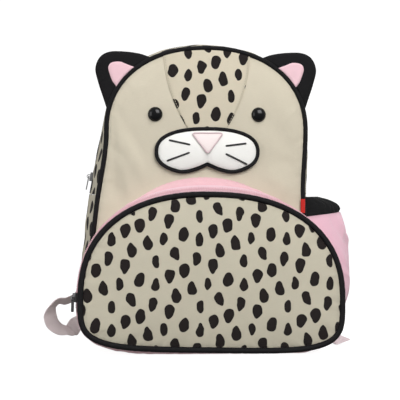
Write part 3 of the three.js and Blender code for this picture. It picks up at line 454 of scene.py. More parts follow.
def face_relief(x, z, ring, share, off):
    stuffed = 0.9 * (1 - np.exp(-off / 6))
    return (face_front(x, z) - stuffed + 0.9 - folds(x, z, FACE_FOLDS) * smooth(0, 14, off)
            - pucker(share, off, body.whole, high=0.45, seed=1.3)
            - pucker(share, off, body.whole, high=0.4, seed=3.1, length=21, decay=13))


def toned(colour, by):
    """A colour made lighter or darker."""
    return tuple(min(1, c * by) for c in colour[:3]) + (1,)


def woven(name, colour, thread=0.62, relief=0.00011, roughness=0.88, sheen=0.1, cloud=0.05, shade=0.14,
          print_at=None, print_colour=None, lustre=0.16):
    """Plain woven cloth: over-and-under threads as the product of two sines along the cloth's own map, with
    painted shade in the valleys between them, a slow unevenness of the dye, and painted shade along the seams."""
    finish = Finish(name, specular_ior_level=lustre, sheen_weight=sheen, sheen_roughness=0.5)
    flat, across, along = finish.cloth()
    place = finish.place()
    turn = 2 * math.pi / thread
    weave = (across * turn).sine() * (along * turn).sine()
    dye = finish.noise(place, 26, 3)
    slub = finish.noise(finish.node("Mapping", {}, {"Vector": flat, "Scale": (0.25, 3.2, 1)}), 1.0, 2)
    edge = finish.node("Attribute", {"attribute_name": "seam"}, output="Fac")
    near = 1 - edge.rising(0.2, 5)
    dark = toned(colour, 0.72)
    light = toned(colour, 1.1)
    plain = tuple(mix(c, d, 0.35) for c, d in zip(colour, dark))
    tone = finish.mix((dye - 0.5) * cloud * 8 + 0.5, plain, light)
    # Painted shade: the colour goes darker near the seams, by shade, and in the low places of the weave; the
    # slub term is the yarn's own uneven tone.
    tone = finish.mix((slub - 0.5) * 0.5 + near * shade * 2 + (1 - weave) * 0.05, tone, dark)
    if print_at is not None:
        mark = spot_mask(finish, flat, print_at)
        tone = finish.mix(mark, tone, finish.mix(dye, print_colour, toned(print_colour, 1.4)))
    height = weave * relief + slub * relief * 1.5
    finish.wear(**{"Base Color": tone, "Roughness": weave * 0.04 + roughness,
                   "Normal": finish.relief(height)})
    return finish


face_grid, face_flat, face_off = pad_grid(
    body, inset=SEAM_ROOM, rings=84, count=420, front_at=face_relief,
    back_at=lambda x, z, ring, share, off: face_front(x, z) + 2 * PANEL_HALF)
face = surface("face_cloth", face_grid, face_flat, "c", "middle", face_off)
beige = woven("face_beige", FACE_BEIGE)
sew_in(face, beige, "face_fabric", "face_panel")

# Print: dark spots on beige, drops and ovals that stand upright, in a repeat where every second row of
# repeats is moved by half its width. The same cloth makes the forehead, the front pocket and the gussets.
REPEAT_WIDTH, REPEAT_RISE = 85.0, 43.5
REPEAT_SHIFT = REPEAT_WIDTH / 2
SPOTS_IN_REPEAT, SPOT_SEED, SPOT_ROOM, SPOT_PUSHES = 11, 11, 21.5, 60
# SPOT_BEIGE is the printed cloth on the pocket and gussets. The forehead's copy of the same cloth is painted
# lighter, so the two are lit and shaded copies of one cloth.
SPOT_BEIGE = paint(206, 199, 179)
SPOT_DARK = paint(30, 24, 23)
SPOT_KINDS = [  # wide, tall, taper, bend, lean
    (9.0, 14.2, 0.27, 0.12, 0.1),
    (7.2, 12.6, 0.06, -0.16, 0.05),
    (10.0, 14.0, -0.16, 0.04, 0.0),
    (9.2, 14.4, -0.28, 0.14, -0.14),
    (7.6, 13.0, 0.28, 0.1, 0.12),
    (9.0, 14.4, 0.3, -0.14, -0.1),
    (8.4, 13.6, -0.24, -0.24, 0.1),
    (9.6, 13.4, -0.24, -0.06, 0.12),
    (7.0, 12.4, -0.1, 0.2, 0.0),
    (9.8, 14.0, 0.14, 0.0, -0.06),
    (8.2, 13.8, -0.3, 0.04, 0.16),
]


def spread_spots():
    """Where the spots of one repeat lie: scattered once, then pushed apart until they are evenly spread.

    Each spot moves away from every neighbour nearer than its room, counting the neighbours' repeats too."""
    chance = np.random.default_rng(SPOT_SEED)
    spots = chance.random((SPOTS_IN_REPEAT, 2)) * (REPEAT_WIDTH, REPEAT_RISE)
    steps = np.array([[i * REPEAT_WIDTH + j * REPEAT_SHIFT, j * REPEAT_RISE] for i in (-2, -1, 0, 1, 2)
                      for j in (-2, -1, 0, 1, 2)])
    for _ in range(SPOT_PUSHES):
        apart = spots[:, None, None] - spots[None, :, None] - steps
        far = np.hypot(apart[..., 0] * 1.08, apart[..., 1] * 0.86)
        push = np.where(far > 1e-6, np.maximum(0, SPOT_ROOM - far), 0)
        spots = spots + 0.04 * (apart / np.maximum(far, 1e-6)[..., None] * push[..., None]).sum((1, 2))
    return spots, chance.uniform(-20, 20, SPOTS_IN_REPEAT), steps


SPOT_PLACES, SPOT_TILTS_DEG, REPEAT_STEPS = spread_spots()


def spot_mask(finish, flat, start):
    """1 inside a printed spot and 0 outside.

    The flat place, shaken a little, is folded into one repeat. Each spot there is an oval, s across and t up
    in its own half sizes, bent by a share of t squared and drawn to one end by a taper, and it covers where
    (bent s times the taper) squared plus t squared is under 1."""
    lumps = finish.node("TexNoise", {}, {"Vector": flat, "Scale": 0.16, "Detail": 0.0}, "Color")
    shaken = finish.node("VectorMath", {"operation": "MULTIPLY_ADD"}, {
        0: lumps, 1: (2.2, 2.2, 0),
        2: finish.node("VectorMath", {"operation": "ADD"}, {0: flat, 1: (start[0], start[1], 0)})})
    across, up = finish.split(shaken)
    row = (up / REPEAT_RISE).floor()
    up = up - row * REPEAT_RISE
    across = across - row * REPEAT_SHIFT
    across = across - (across / REPEAT_WIDTH).floor() * REPEAT_WIDTH
    folded = finish.node("CombineXYZ", {}, {0: across, 1: up})
    least = None
    for number, (place, tilt) in enumerate(zip(SPOT_PLACES, SPOT_TILTS_DEG)):
        wide, tall, taper, bend, lean = SPOT_KINDS[number % len(SPOT_KINDS)]
        for step in REPEAT_STEPS:
            x, z = place + step
            if not (-8 < x < REPEAT_WIDTH + 8 and -8 < z < REPEAT_RISE + 8):
                continue
            own = finish.node("Mapping", {"vector_type": "TEXTURE"}, {
                "Vector": folded, "Location": (x, z, 0), "Rotation": (0, 0, math.radians(tilt)),
                "Scale": (wide / 2, tall / 2, 1)})
            s, t = finish.split(own)
            square = t * t
            narrow = (s + square * bend + t * lean) * (t * taper + 1)
            inside = narrow * narrow + square
            least = inside if least is None else least.least(inside)
    return 1 - least.rising(0.95, 1.05)


def printed(name, start, colour=SPOT_BEIGE):
    return woven(name, colour, print_at=start, print_colour=SPOT_DARK)


# Forehead: a wedge of the printed cloth, set into the face from the muzzle up to the top seam. Its edges are
# turned under, and a fine line of stitches holds them about 2 mm in from the fold.
MUZZLE_HEIGHT, MUZZLE_HALF_WIDTH, MUZZLE_RISE, MUZZLE_DROP = 198, 50.5, 22.5, 22.3
MUZZLE_CUSP, MUZZLE_ROUNDNESS, MUZZLE_EDGE, MUZZLE_CROWN, MUZZLE_PIPING = 0.56, 2.4, 1.6, 5, 1.85
FOREHEAD_HALF_WIDTH = 43.5
FOREHEAD_LOW_SHARE = 0.45
STITCH_COLOUR = paint(196, 187, 163)


def arch(x, half_width, rise, roundness):
    """How high the upper half of a rounded box stands at x, by the superellipse's rule."""
    return rise * np.maximum(0, 1 - np.abs((x - HEAD_X) / half_width) ** roundness) ** (1 / roundness)


def muzzle_top(x):
    return MUZZLE_HEIGHT + arch(x, MUZZLE_HALF_WIDTH, MUZZLE_RISE, MUZZLE_ROUNDNESS)


def crown_top(x):
    return SHOULDER_HEIGHT + arch(x, BODY_HALF_WIDTH, CROWN_HEIGHT, CROWN_ROUNDNESS)


def eased(table, at):
    """A value read from a short table of (place, value) rows, eased between them."""
    keys, values = np.array(table).T
    row = np.clip(np.searchsorted(keys, at, side="right") - 1, 0, len(keys) - 2)
    return mix(values[row], values[row + 1], smooth(0, 1, (at - keys[row]) / (keys[row + 1] - keys[row])))


def forehead_plan(across, up):
    """A place on the forehead, from -1 to 1 across and from 0 at the muzzle to 1 at the top seam."""
    x = HEAD_X + FOREHEAD_HALF_WIDTH * (up + FOREHEAD_LOW_SHARE * (1 - up ** 2)) * across
    return x, mix(muzzle_top(x) + 1.2, crown_top(x) - 2.4, up)


def forehead_front(x, z, across):
    rolled = 1.0 * np.maximum(0, 1 - np.abs(across) ** 26) ** 0.5
    return face_front(x, z) - 0.3 - rolled + 0.15


def wall(outer, inner):
    """The rows of a wall: along its outer skin and back along its inner one."""
    return np.concatenate([outer, inner[:, ::-1]], axis=1)


def shell(name, outer, inner, across, along, seam=99.0):
    """A sewn wall of cloth: its two skins joined all round, with their flat place and seam distance."""
    across, along, seam = (wall(*2 * [np.broadcast_to(part, outer.shape[:2])])
                           for part in (across, along, seam))
    return surface(name, wall(outer, inner), (across, along), "c", "wall", seam)


across = np.sin(np.linspace(-math.pi / 2, math.pi / 2, 72))[None, :]
up = np.linspace(0, 1, 72)[:, None]
x, z = forehead_plan(across, up)
outer = np.stack([x, forehead_front(x, z, across) - folds(x, z, FACE_FOLDS), z], -1)
inner = np.stack([x, face_front(x, z) + 0.4, z], -1)
forehead = shell("forehead_cloth", outer, inner, x, z, 38 * (1 - np.abs(across)))
# The forehead's printed cloth is painted a lighter beige than SPOT_BEIGE on the pocket and gussets below:
# painted light at the top of the bag.
sew_in(forehead, printed("forehead_print", (9, 12), paint(220, 210, 188)), "spot_fabric", "forehead_panel")


def unit(way):
    """Directions of length 1."""
    return way / np.linalg.norm(way, axis=-1, keepdims=True)


def read_along(goals, keys, rows):
    """A table's three columns, read in straight steps between its keys."""
    return np.stack([np.interp(goals, keys, rows[:, k]) for k in range(3)], -1)


def beads(name, at, along, out, long, wide, high):
    """Many copies of one short rounded bar, such as a stitch or a zip tooth, as a single mesh.

    The bar is five rings of six points, its half width following a quarter-power of a half circle, set at each
    place with its length along one direction and its height along another."""
    along = unit(along)
    side = np.cross(out, along)
    side = unit(side)
    up_way = np.cross(along, side)
    t = np.array([-1, -0.72, 0, 0.72, 1])
    swell = np.array([0.35, 0.9, 1, 0.9, 0.35])
    turn = np.arange(6) * math.pi / 3
    lengths = (t[:, None] * long / 2 * np.ones(6)).reshape(-1)
    widths = (swell[:, None] * np.cos(turn) * wide / 2).reshape(-1)
    heights = (swell[:, None] * np.sin(turn) * high / 2).reshape(-1)
    places = (at[:, None] + along[:, None] * lengths[:, None] + side[:, None] * widths[:, None]
              + up_way[:, None] * heights[:, None])
    number = np.arange(30).reshape(5, 6)
    after = np.roll(number, -1, 1)
    skin = np.stack([number[:-1], number[1:], after[1:], after[:-1]], -1).reshape(-1, 4)
    caps = np.stack([number[0], number[-1][::-1]])
    starts = number.size * np.arange(len(at))[:, None, None]
    mesh = bpy.data.meshes.new(name)
    mesh.from_pydata((places.reshape(-1, 3) * MM).tolist(), [],
                     [face for part in (skin, caps)
                      for face in (part + starts).reshape(-1, part.shape[1]).tolist()])
    return add_piece(name, mesh)


def spaced(path, pitch):
    """Places at an even pitch along a path of points, with the direction of the path at each."""
    steps = np.linalg.norm(np.diff(path, axis=0), axis=1)
    lengths = np.concatenate([[0], np.cumsum(steps)])
    goals = np.arange(pitch / 2, lengths[-1], pitch)
    at, ahead, behind = (read_along(goals + step, lengths, path) for step in (0, 0.4, -0.4))
    return at, ahead - behind


def thread_finish(name, colour):
    """Spun sewing thread: a fine twist, slanting across its length, with painted shade in its grooves, and a
    soft shine.
    """
    finish = Finish(name, roughness=0.6, sheen_weight=0.3)
    place = finish.place()
    twist = finish.node("TexWave", {"bands_direction": "DIAGONAL"},
                        {"Vector": place, "Scale": 900, "Distortion": 1.0})
    # Painted shade: the colour follows the twist height, darker in its grooves.
    finish.wear(**{"Base Color": finish.mix(twist, toned(colour, 0.8), colour),
                   "Normal": finish.relief(twist, 0.4, 0.0001)})
    return finish


FORWARD = np.array([0, -1, 0])
stitch_thread = thread_finish("beige_thread", STITCH_COLOUR)
for word, side in (("left", -1), ("right", 1)):
    up = np.linspace(0.02, 0.98, 90)
    x, z = forehead_plan(side * 0.955, up)
    line = np.stack([x, forehead_front(x, z, 0.955) - 0.05, z], -1)
    at, along = spaced(line, 2.7)
    stitches = beads(f"forehead_stitches_{word}", at, along, FORWARD + 0 * at, long=1.9, wide=0.5, high=0.5)
    sew_in(stitches, stitch_thread, "face_fabric")

# Piping: a round cord in a bias strip of black cloth, caught in the seam all round the front and the back.
# The strip is drawn in a little between stitches, so the round wavers.
BODY_PIPING = 2.3
BLACK = paint(23, 22, 24)


def piping_grid(outline, radius, depth_at, count, sides, seed):
    """A circle carried round the outline. Its radius wavers a little where the strip is drawn in."""
    share = (np.arange(count) / count)[:, None]
    turn = (2 * math.pi * np.arange(sides) / sides)[None, :]
    x, z = outline.at(share)
    out_x, out_z = outline.out(share)
    waver = 0.035 * ripple(share, outline.whole / 9, seed) + 0.02 * ripple(share, outline.whole / 3.1, 5)
    own = radius * (1 + waver)
    grid = set_out(x + out_x * own * np.cos(turn), depth_at(x, z) + own * np.sin(turn),
                   z + out_z * own * np.cos(turn))
    return grid, (turn * radius, share * outline.whole)


def piping_finish(name, colour):
    """Bias-cut cloth over a cord: a weave at 45 degrees with small creases, duller where it is creased, with
    painted shade in the hollows of the creases and painted light on their ridges.
    """
    finish = Finish(name, specular_ior_level=0.16, sheen_weight=0.04, sheen_roughness=0.4)
    flat, across, along = finish.cloth()
    turn = 2 * math.pi / 0.9
    weave = ((across + along) * turn).sine() * ((across - along) * turn).sine()
    crease = finish.noise(finish.node("Mapping", {}, {"Vector": flat, "Scale": (0.3, 0.9, 1)}), 0.8, 3)
    dark = toned(colour, 0.55)
    # Painted shade and light: the colour follows the crease height, darker in the hollows and lighter on the
    # ridges.
    finish.wear(**{"Base Color": finish.mix(crease, dark, toned(colour, 1.3)),
                   "Roughness": crease * 0.25 + 0.55,
                   "Normal": finish.relief(weave * 0.00006 + crease * 0.0005)})
    return finish


black_strip = piping_finish("black_bias_strip", BLACK)
for name, y, seed in (("face_piping", -BODY_HALF_DEPTH, 1.0), ("back_piping", BODY_HALF_DEPTH, 2.0)):
    grid, flat = piping_grid(body, BODY_PIPING, lambda x, z: y + 0 * x, count=620, sides=14, seed=seed)
    sew_in(surface(f"{name}_cord", grid, flat, "rc"), black_strip, "black_piping", name)

# Gussets: the bag's sides and base, one long band of the printed cloth, cut in two by the zip over the top.
# The band swells between its seams, most beside the cheeks, and lies flat where the bag stands.
SEAM_Y = 42.4
GUSSET_BULGE = 10
GUSSET_STATIONS, GUSSET_PRINT_START = 260, (3, 8)
SWELL_BY_HEIGHT = [(0, 0.6), (0.2, 0.8), (0.45, 1), (0.64, 0.9), (0.78, 0.35), (1, 0.8)]
BODY_HEIGHT = SHOULDER_HEIGHT + CROWN_HEIGHT
ZIP_FRONT, ZIP_BACK, ZIP_END_HEIGHT, ZIP_RECESS = -12, 2, 155, 0.6


def body_skin(share, y, inset):
    """The gusset's skin: the outline pushed out by the swell at its height times a power of a half sine
    between the seams, less the inset, and never under the floor."""
    x, z = body.at(share)
    out_x, out_z = body.out(share)
    swell = GUSSET_BULGE * eased(SWELL_BY_HEIGHT, z / BODY_HEIGHT)
    off = swell * np.sin(math.pi * np.clip((y + SEAM_Y) / (2 * SEAM_Y), 0, 1)) ** 0.8 - inset
    high = np.maximum(z + out_z * off, np.maximum(0, inset))
    return set_out(x + out_x * off, y, high)


def slack(share, y, high=0.8):
    """Soft buckles across the gusset: slow ripples along it, none at its seams."""
    between = np.sin(math.pi * np.clip((y + SEAM_Y) / (2 * SEAM_Y), 0, 1))
    near = np.minimum(np.abs(y + SEAM_Y), np.abs(y - SEAM_Y))
    return (high * between * ripple(share + y / 3000, body.whole / 46, 2.2)
            + 0.3 * ripple(share, body.whole / 8, 4.0) * np.exp(-near / 6))


def gusset(node, start, end, y0, y1, columns, seams):
    """One piece of the band: the skin between two shares of the outline and two depths, with its slack."""
    share = np.linspace(start, end, GUSSET_STATIONS)[:, None]
    y = np.linspace(y0, y1, columns)[None, :]
    outer = body_skin(share, y, -slack(share, y) + 0.15)
    inner = body_skin(share, y, CLOTH_THICK)
    seam = np.minimum(np.abs(y - seams[0]), np.abs(y - seams[1]))
    piece = shell(node + "_cloth", outer, inner, y, share * body.whole, seam)
    sew_in(piece, printed(node + "_cloth_print", GUSSET_PRINT_START), "spot_fabric", node)


zip_end = float(body.at_height(ZIP_END_HEIGHT))
zip_start = float(body.at_height(ZIP_END_HEIGHT, -1)) - 1
share_gap = TOUCH / body.whole
gusset("gusset_front", zip_start, zip_end, -SEAM_Y, ZIP_FRONT - TOUCH, 16, (-SEAM_Y, ZIP_FRONT))
gusset("gusset_back", zip_start, zip_end, ZIP_BACK + TOUCH, SEAM_Y, 20, (ZIP_BACK, SEAM_Y))
gusset("gusset_base", zip_end + share_gap, zip_start + 1 - share_gap, -SEAM_Y, SEAM_Y, 34, (-SEAM_Y, SEAM_Y))

# Main zip: a black woven tape sewn under both gussets, with a nylon coil down its middle. It runs from one
# side over the top to the other.
ZIP_MIDDLE = -5
COIL_PITCH, COIL_LOOP, COIL_HIGH, COIL_STATIONS = 1.7, 3.2, 1.1, 900
TAPE_THICK, TAPE_GROOVE, TAPE_COLUMNS, TAPE_STATIONS = 1.0, 0.35, 23, 260


def zip_tape(name, skin_at, start, end, low, high, coil_at, finish, slot_name, node):
    """The tape is the skin between two edges, with a step down beside the coil."""
    share = np.linspace(start, end, TAPE_STATIONS)[:, None]
    part = np.linspace(low, high, TAPE_COLUMNS)[None, :]
    groove = TAPE_GROOVE * np.exp(-((part - coil_at) / (high - low) / 0.2) ** 2)
    outer = skin_at(share, part, groove)
    inner = skin_at(share, part, TAPE_THICK + 0 * groove)
    width = np.linalg.norm(outer[TAPE_STATIONS // 2, -1] - outer[TAPE_STATIONS // 2, 0])
    steps = np.linalg.norm(np.diff(outer[:, TAPE_COLUMNS // 2], axis=0), axis=1)
    run = np.concatenate([[0], np.cumsum(steps)])[:, None]
    sew_in(shell(name, outer, inner, (part - low) / (high - low) * width, run), finish, slot_name, node)


def coil(name, skin_at, start, end, coil_at, step, finish, slot_name):
    """Two rows of short bars across the tape, half a pitch from each other, as a coil zip's loops lie."""
    share = np.linspace(start, end, COIL_STATIONS)[:, None]
    middle = skin_at(share, np.array([[coil_at]]), -0.25)[:, 0]
    side = skin_at(share, np.array([[coil_at + step]]), -0.25)[:, 0] - middle
    at, along = spaced(middle, COIL_PITCH / 2)
    way = unit(read_along(np.linspace(0, 1, len(at)), np.linspace(0, 1, COIL_STATIONS), side))
    out = np.cross(along, way)
    out *= np.sign((out * (at - at.mean(0))).sum(1).mean())
    shift = np.where(np.arange(len(at)) % 2 == 0, 1, -1)[:, None]
    teeth = beads(name, at + way * shift, way, out, long=COIL_LOOP, wide=COIL_PITCH / 2, high=COIL_HIGH)
    sew_in(teeth, finish, slot_name)


def tape_finish(name, colour):
    """Narrow woven tape: fine ribs along its length, with painted shade in the grooves between them and
    painted light on their tops, and a flat dull face.
    """
    finish = Finish(name, roughness=0.75, sheen_weight=0.15)
    flat, across, along = finish.cloth()
    ribs = (across * (2 * math.pi / 0.8)).sine()
    picks = (along * (2 * math.pi / 0.5)).sine()
    # Painted shade and light: the colour follows the rib height, darker in the grooves and lighter on the
    # ribs.
    finish.wear(**{"Base Color": finish.mix(ribs * 0.3 + picks * 0.15 + 0.5, toned(colour, 0.72),
                                            toned(colour, 1.15)),
                   "Normal": finish.relief(ribs * 0.00008 + picks * 0.00004)})
    return finish


def nylon_finish(name, colour):
    """Moulded nylon monofilament: smooth, a little see-through at its edges, with faint flow marks."""
    finish = Finish(name, roughness=0.35)
    marks = finish.noise(finish.place(), 700, 2)
    finish.wear(**{"Base Color": finish.mix(marks, toned(colour, 0.75), colour),
                   "Roughness": marks * 0.2 + 0.28})
    return finish


def main_zip_skin(share, y, inset):
    return body_skin(share, y, inset + ZIP_RECESS)


zip_tape("main_zip_tape", main_zip_skin, zip_start, zip_end, ZIP_FRONT, ZIP_BACK, ZIP_MIDDLE,
         tape_finish("black_tape", paint(28, 27, 29)), "zip_tape", "main_zip")
coil("main_zip_coil", main_zip_skin, zip_start + 0.001, zip_end - 0.001, ZIP_MIDDLE, 1.0,
     nylon_finish("black_nylon", paint(26, 25, 27)), "zip_tape")

# Back: one padded black panel, stitched round near its piping, with the straps and the handle sewn into it.
BACK_PADDING = 5
strong_black = woven("strong_black", paint(25, 24, 26), thread=0.9, relief=0.0002, roughness=0.8, sheen=0.05,
                     cloud=0.08)
black_thread = thread_finish("black_thread", paint(26, 25, 27))


def back_depth(x, z, ring, share, off):
    """The padding behind: thick inside, thin at the seam, with a groove where it is stitched round."""
    groove = 1.1 * np.exp(-((off - 14) / 2.2) ** 2)
    dimple = 0.35 * np.sin(x / 17) * np.sin(z / 23) * smooth(14, 40, off)
    return (BODY_HALF_DEPTH + PANEL_HALF + (BACK_PADDING - PANEL_HALF) * smooth(0, 13, off) - groove + dimple
            + pucker(share, off, body.whole, high=0.35, seed=0.7))


back_grid, back_flat, back_off = pad_grid(
    body, inset=SEAM_ROOM, rings=60, count=300, front_at=back_depth,
    back_at=lambda x, z, ring, share, off: BODY_HALF_DEPTH - PANEL_HALF + 0 * x)
back = surface("back_pad", back_grid, back_flat, "c", "middle", back_off)
sew_in(back, strong_black, "back_fabric", "back_panel")
share = (np.arange(420) / 420)[:, None]
x, z = body.at(share)
out_x, out_z = body.out(share)
round_back = np.hstack([x - out_x * (SEAM_ROOM + 14), 0 * x + BODY_HALF_DEPTH + BACK_PADDING - 1.15,
                        z - out_z * (SEAM_ROOM + 14)])
at, along = spaced(np.vstack([round_back, round_back[:1]]), 3.2)
stitches = beads("back_stitches", at, along, -FORWARD + 0 * at, long=2.3, wide=0.6, high=0.6)
sew_in(stitches, black_thread, "black_thread")

# Front pocket: a bellows of pink satin cloth that stands off the face, closed by a panel of the printed
# cloth with thick black piping. Its zip lies in the bellows behind the piping, with its slider on the left.
POCKET_X, POCKET_HEIGHT = 9, 56
POCKET_HALF_WIDTH, POCKET_RISE, POCKET_DROP, POCKET_TILT_DEG = 127.5, 99.5, 51, -1.2
POCKET_CROWN, POCKET_TOP_STAND_OFF, POCKET_LOW_STAND_OFF = 7, 27, 43
POCKET_PIPING, POCKET_BULGE, POCKET_TOP_BULGE, POCKET_BULGE_AHEAD = 2.8, 8, 4, 1.6
POCKET_SEAM_X, POCKET_SEAM_HALF_WIDTH, POCKET_SEAM_RISE, POCKET_SEAM_DROP = 3, 109, 116.5, 48
POCKET_ROUNDNESS, POCKET_SEAM_ROUNDNESS = (2.3, 4.5), (2.1, 4)
POCKET_ZIP_SHARE, POCKET_ZIP_END_HEIGHT = 0.3, 42
PINK = paint(241, 190, 198)
PALE_PINK = paint(247, 208, 216)
POCKET_FOLDS = [  # x0, z0, x1, z1, wide, high
    (-96, 96, -60, 40, 14, 0.7),
    (60, 128, 112, 70, 15, 0.8),
    (-30, 60, 50, 44, 16, -0.6),
    (92, 60, 128, 30, 8, 0.7),
    (-110, 36, -84, 18, 8, 0.6),
]


def pocket_shape(middle_x, half_width, rise, drop, top_roundness, low_roundness):
    """A wide half circle above and a flatter rounded box below, turned a little clockwise."""
    tilt = math.radians(POCKET_TILT_DEG)

    def shape(angle):
        upper = np.sin(angle) >= 0
        far = reach(angle, half_width, np.where(upper, rise, drop),
                    np.where(upper, top_roundness, low_roundness))
        x, z = far * np.cos(angle), far * np.sin(angle)
        return (x * math.cos(tilt) - z * math.sin(tilt) + middle_x,
                x * math.sin(tilt) + z * math.cos(tilt) + POCKET_HEIGHT)

    return shape


rim = dense(pocket_shape(POCKET_X, POCKET_HALF_WIDTH, POCKET_RISE, POCKET_DROP, *POCKET_ROUNDNESS))
pocket_seam = dense(pocket_shape(POCKET_SEAM_X, POCKET_SEAM_HALF_WIDTH, POCKET_SEAM_RISE, POCKET_SEAM_DROP,
                                 *POCKET_SEAM_ROUNDNESS))


def rim_depth(x, z):
    """The rim's plane leans: it stands further off the face low down than at the top."""
    down = (POCKET_HEIGHT + POCKET_RISE - z) / (POCKET_RISE + POCKET_DROP)
    return -BODY_HALF_DEPTH - mix(POCKET_TOP_STAND_OFF, POCKET_LOW_STAND_OFF, down) + 0 * x


def pocket_crown(x, z, ring):
    return rim_depth(x, z) - POCKET_CROWN * (1 - ring ** CROWN_FULLNESS)


def pocket_front(x, z, ring, share, off):
    return (pocket_crown(x, z, ring) - PANEL_HALF + 0.8 * np.exp(-off / 5) - 0.8
            - folds(x, z, POCKET_FOLDS) * smooth(0, 16, off)
            - pucker(share, off, rim.whole, high=0.5, seed=2.6, length=8, decay=6)
            - pucker(share, off, rim.whole, high=0.5, seed=0.4, length=26, decay=15))


pocket_grid, pocket_flat, pocket_off = pad_grid(
    rim, inset=POCKET_PIPING + TOUCH, rings=84, count=420, front_at=pocket_front,
    back_at=lambda x, z, ring, share, off: pocket_crown(x, z, ring) + PANEL_HALF)
pocket = surface("pocket_cloth", pocket_grid, pocket_flat, "c", "middle", pocket_off)
sew_in(pocket, printed("pocket_print", (0, 0)), "spot_fabric", "pocket_panel")
grid, flat = piping_grid(rim, POCKET_PIPING, rim_depth, count=560, sides=16, seed=3.0)
sew_in(surface("pocket_piping_cord", grid, flat, "rc"), black_strip, "black_piping", "pocket_piping")


def pocket_skin(share, part, inset):
    """The bellows: from the seam on the face to the rim. It bulges as a half sine that leans towards the rim,
    less at the top than at the sides and below."""
    low_x, low_z = pocket_seam.at(share)
    high_x, high_z = rim.at(share)
    low_y = np.minimum(face_front(low_x, low_z), -BODY_HALF_DEPTH - BODY_PIPING) - TOUCH
    high_y = rim_depth(high_x, high_z) + POCKET_PIPING + TOUCH
    out_x, out_z = rim.out(share)
    fall = np.clip((POCKET_HEIGHT + POCKET_RISE - high_z) / POCKET_RISE, 0, 1)
    off = mix(POCKET_TOP_BULGE, POCKET_BULGE, fall) * np.sin(math.pi * part ** POCKET_BULGE_AHEAD) - inset
    z = np.maximum(mix(low_z, high_z, part) + out_z * off, TOUCH + np.maximum(inset, 0))
    return set_out(mix(low_x, high_x, part) + out_x * off, mix(low_y, high_y, part), z)


def bellows(name, start, end, part0, part1, stations, columns, node):
    share = np.linspace(start, end, stations)[:, None]
    part = np.linspace(part0, part1, columns)[None, :]
    near = 26 * np.minimum(np.abs(part - part0), np.abs(part - part1)) + 0 * share
    rise = (0.45 * ripple(share, rim.whole / 17, 1.7) * np.sin(math.pi * part)
            + 0.35 * ripple(share, rim.whole / 6, 3.3) * np.exp(-near / 4))
    outer = pocket_skin(share, part, -rise)
    inner = pocket_skin(share, part, CLOTH_THICK)
    run = share * rim.whole + 0 * part
    sew_in(shell(name, outer, inner, run, 30 * part, near), pink_satin, "pink_fabric", node)


pocket_zip_end = float(rim.at_height(POCKET_ZIP_END_HEIGHT))
pocket_zip_start = float(rim.at_height(POCKET_ZIP_END_HEIGHT, -1)) - 1
rim_gap = TOUCH / rim.whole
part_gap = TOUCH / (POCKET_TOP_STAND_OFF - POCKET_PIPING)
pink_satin = woven("pink_satin", PINK, thread=0.45, relief=0.00005, roughness=0.55, sheen=0.35, cloud=0.06,
                   shade=0.1, lustre=0.45)
bellows("pocket_bellows", pocket_zip_start, pocket_zip_end, 0, 1 - POCKET_ZIP_SHARE - part_gap,
        stations=260, columns=14, node="pocket_gusset")
bellows("pocket_bellows_base", pocket_zip_end + rim_gap, pocket_zip_start + 1 - rim_gap, 0, 1,
        stations=200, columns=18, node="pocket_gusset_base")
coil_part = 1 - POCKET_ZIP_SHARE / 2
zip_tape("pocket_zip_tape", pocket_skin, pocket_zip_start, pocket_zip_end, 1 - POCKET_ZIP_SHARE, 1, coil_part,
         tape_finish("pink_tape", PALE_PINK), "pink_zip_tape", "pocket_zip")
coil("pocket_zip_coil", pocket_skin, pocket_zip_start + 0.001, pocket_zip_end - 0.001, coil_part, 0.03,
     nylon_finish("pink_nylon", paint(244, 198, 207)), "pink_zip_tape")

# Muzzle: a stuffed patch of smooth white cloth in two lobes, with a thin black piping sewn round it. A dart
# from the notch below up to the nose draws the lobes apart.
WHITE = paint(253, 251, 243)


def muzzle_shape(angle):
    """A rounded box, with its lower middle raised into a notch between two lobes."""
    upper = np.sin(angle) >= 0
    far = reach(angle, MUZZLE_HALF_WIDTH, np.where(upper, MUZZLE_RISE, MUZZLE_DROP), MUZZLE_ROUNDNESS)
    x, z = far * np.cos(angle), far * np.sin(angle)
    near = np.maximum(0, 1 - np.abs(x) / (MUZZLE_HALF_WIDTH * 0.55))
    return x + HEAD_X, np.where(upper, z, z * (1 - (1 - MUZZLE_CUSP) * near ** 1.4)) + MUZZLE_HEIGHT


def muzzle_front(x, z):
    across = np.minimum(1, np.abs(x - HEAD_X) / MUZZLE_HALF_WIDTH)
    up = np.minimum(1, np.abs(z - MUZZLE_HEIGHT) / MUZZLE_RISE)
    dart = 1.1 * np.exp(-((x - HEAD_X) / 3.2) ** 2) * smooth(200, 190, z)
    return face_front(x, z) - 0.3 - MUZZLE_EDGE - MUZZLE_CROWN * (1 - across ** 2) * (1 - up ** 2) + dart


muzzle = dense(muzzle_shape)


def muzzle_relief(x, z, ring, share, off):
    plump = 0.7 * (1 - np.exp(-off / 3))
    return muzzle_front(x, z) - plump - pucker(share, off, muzzle.whole, high=0.22, seed=1.1, length=5.5,
                                               decay=3.5)


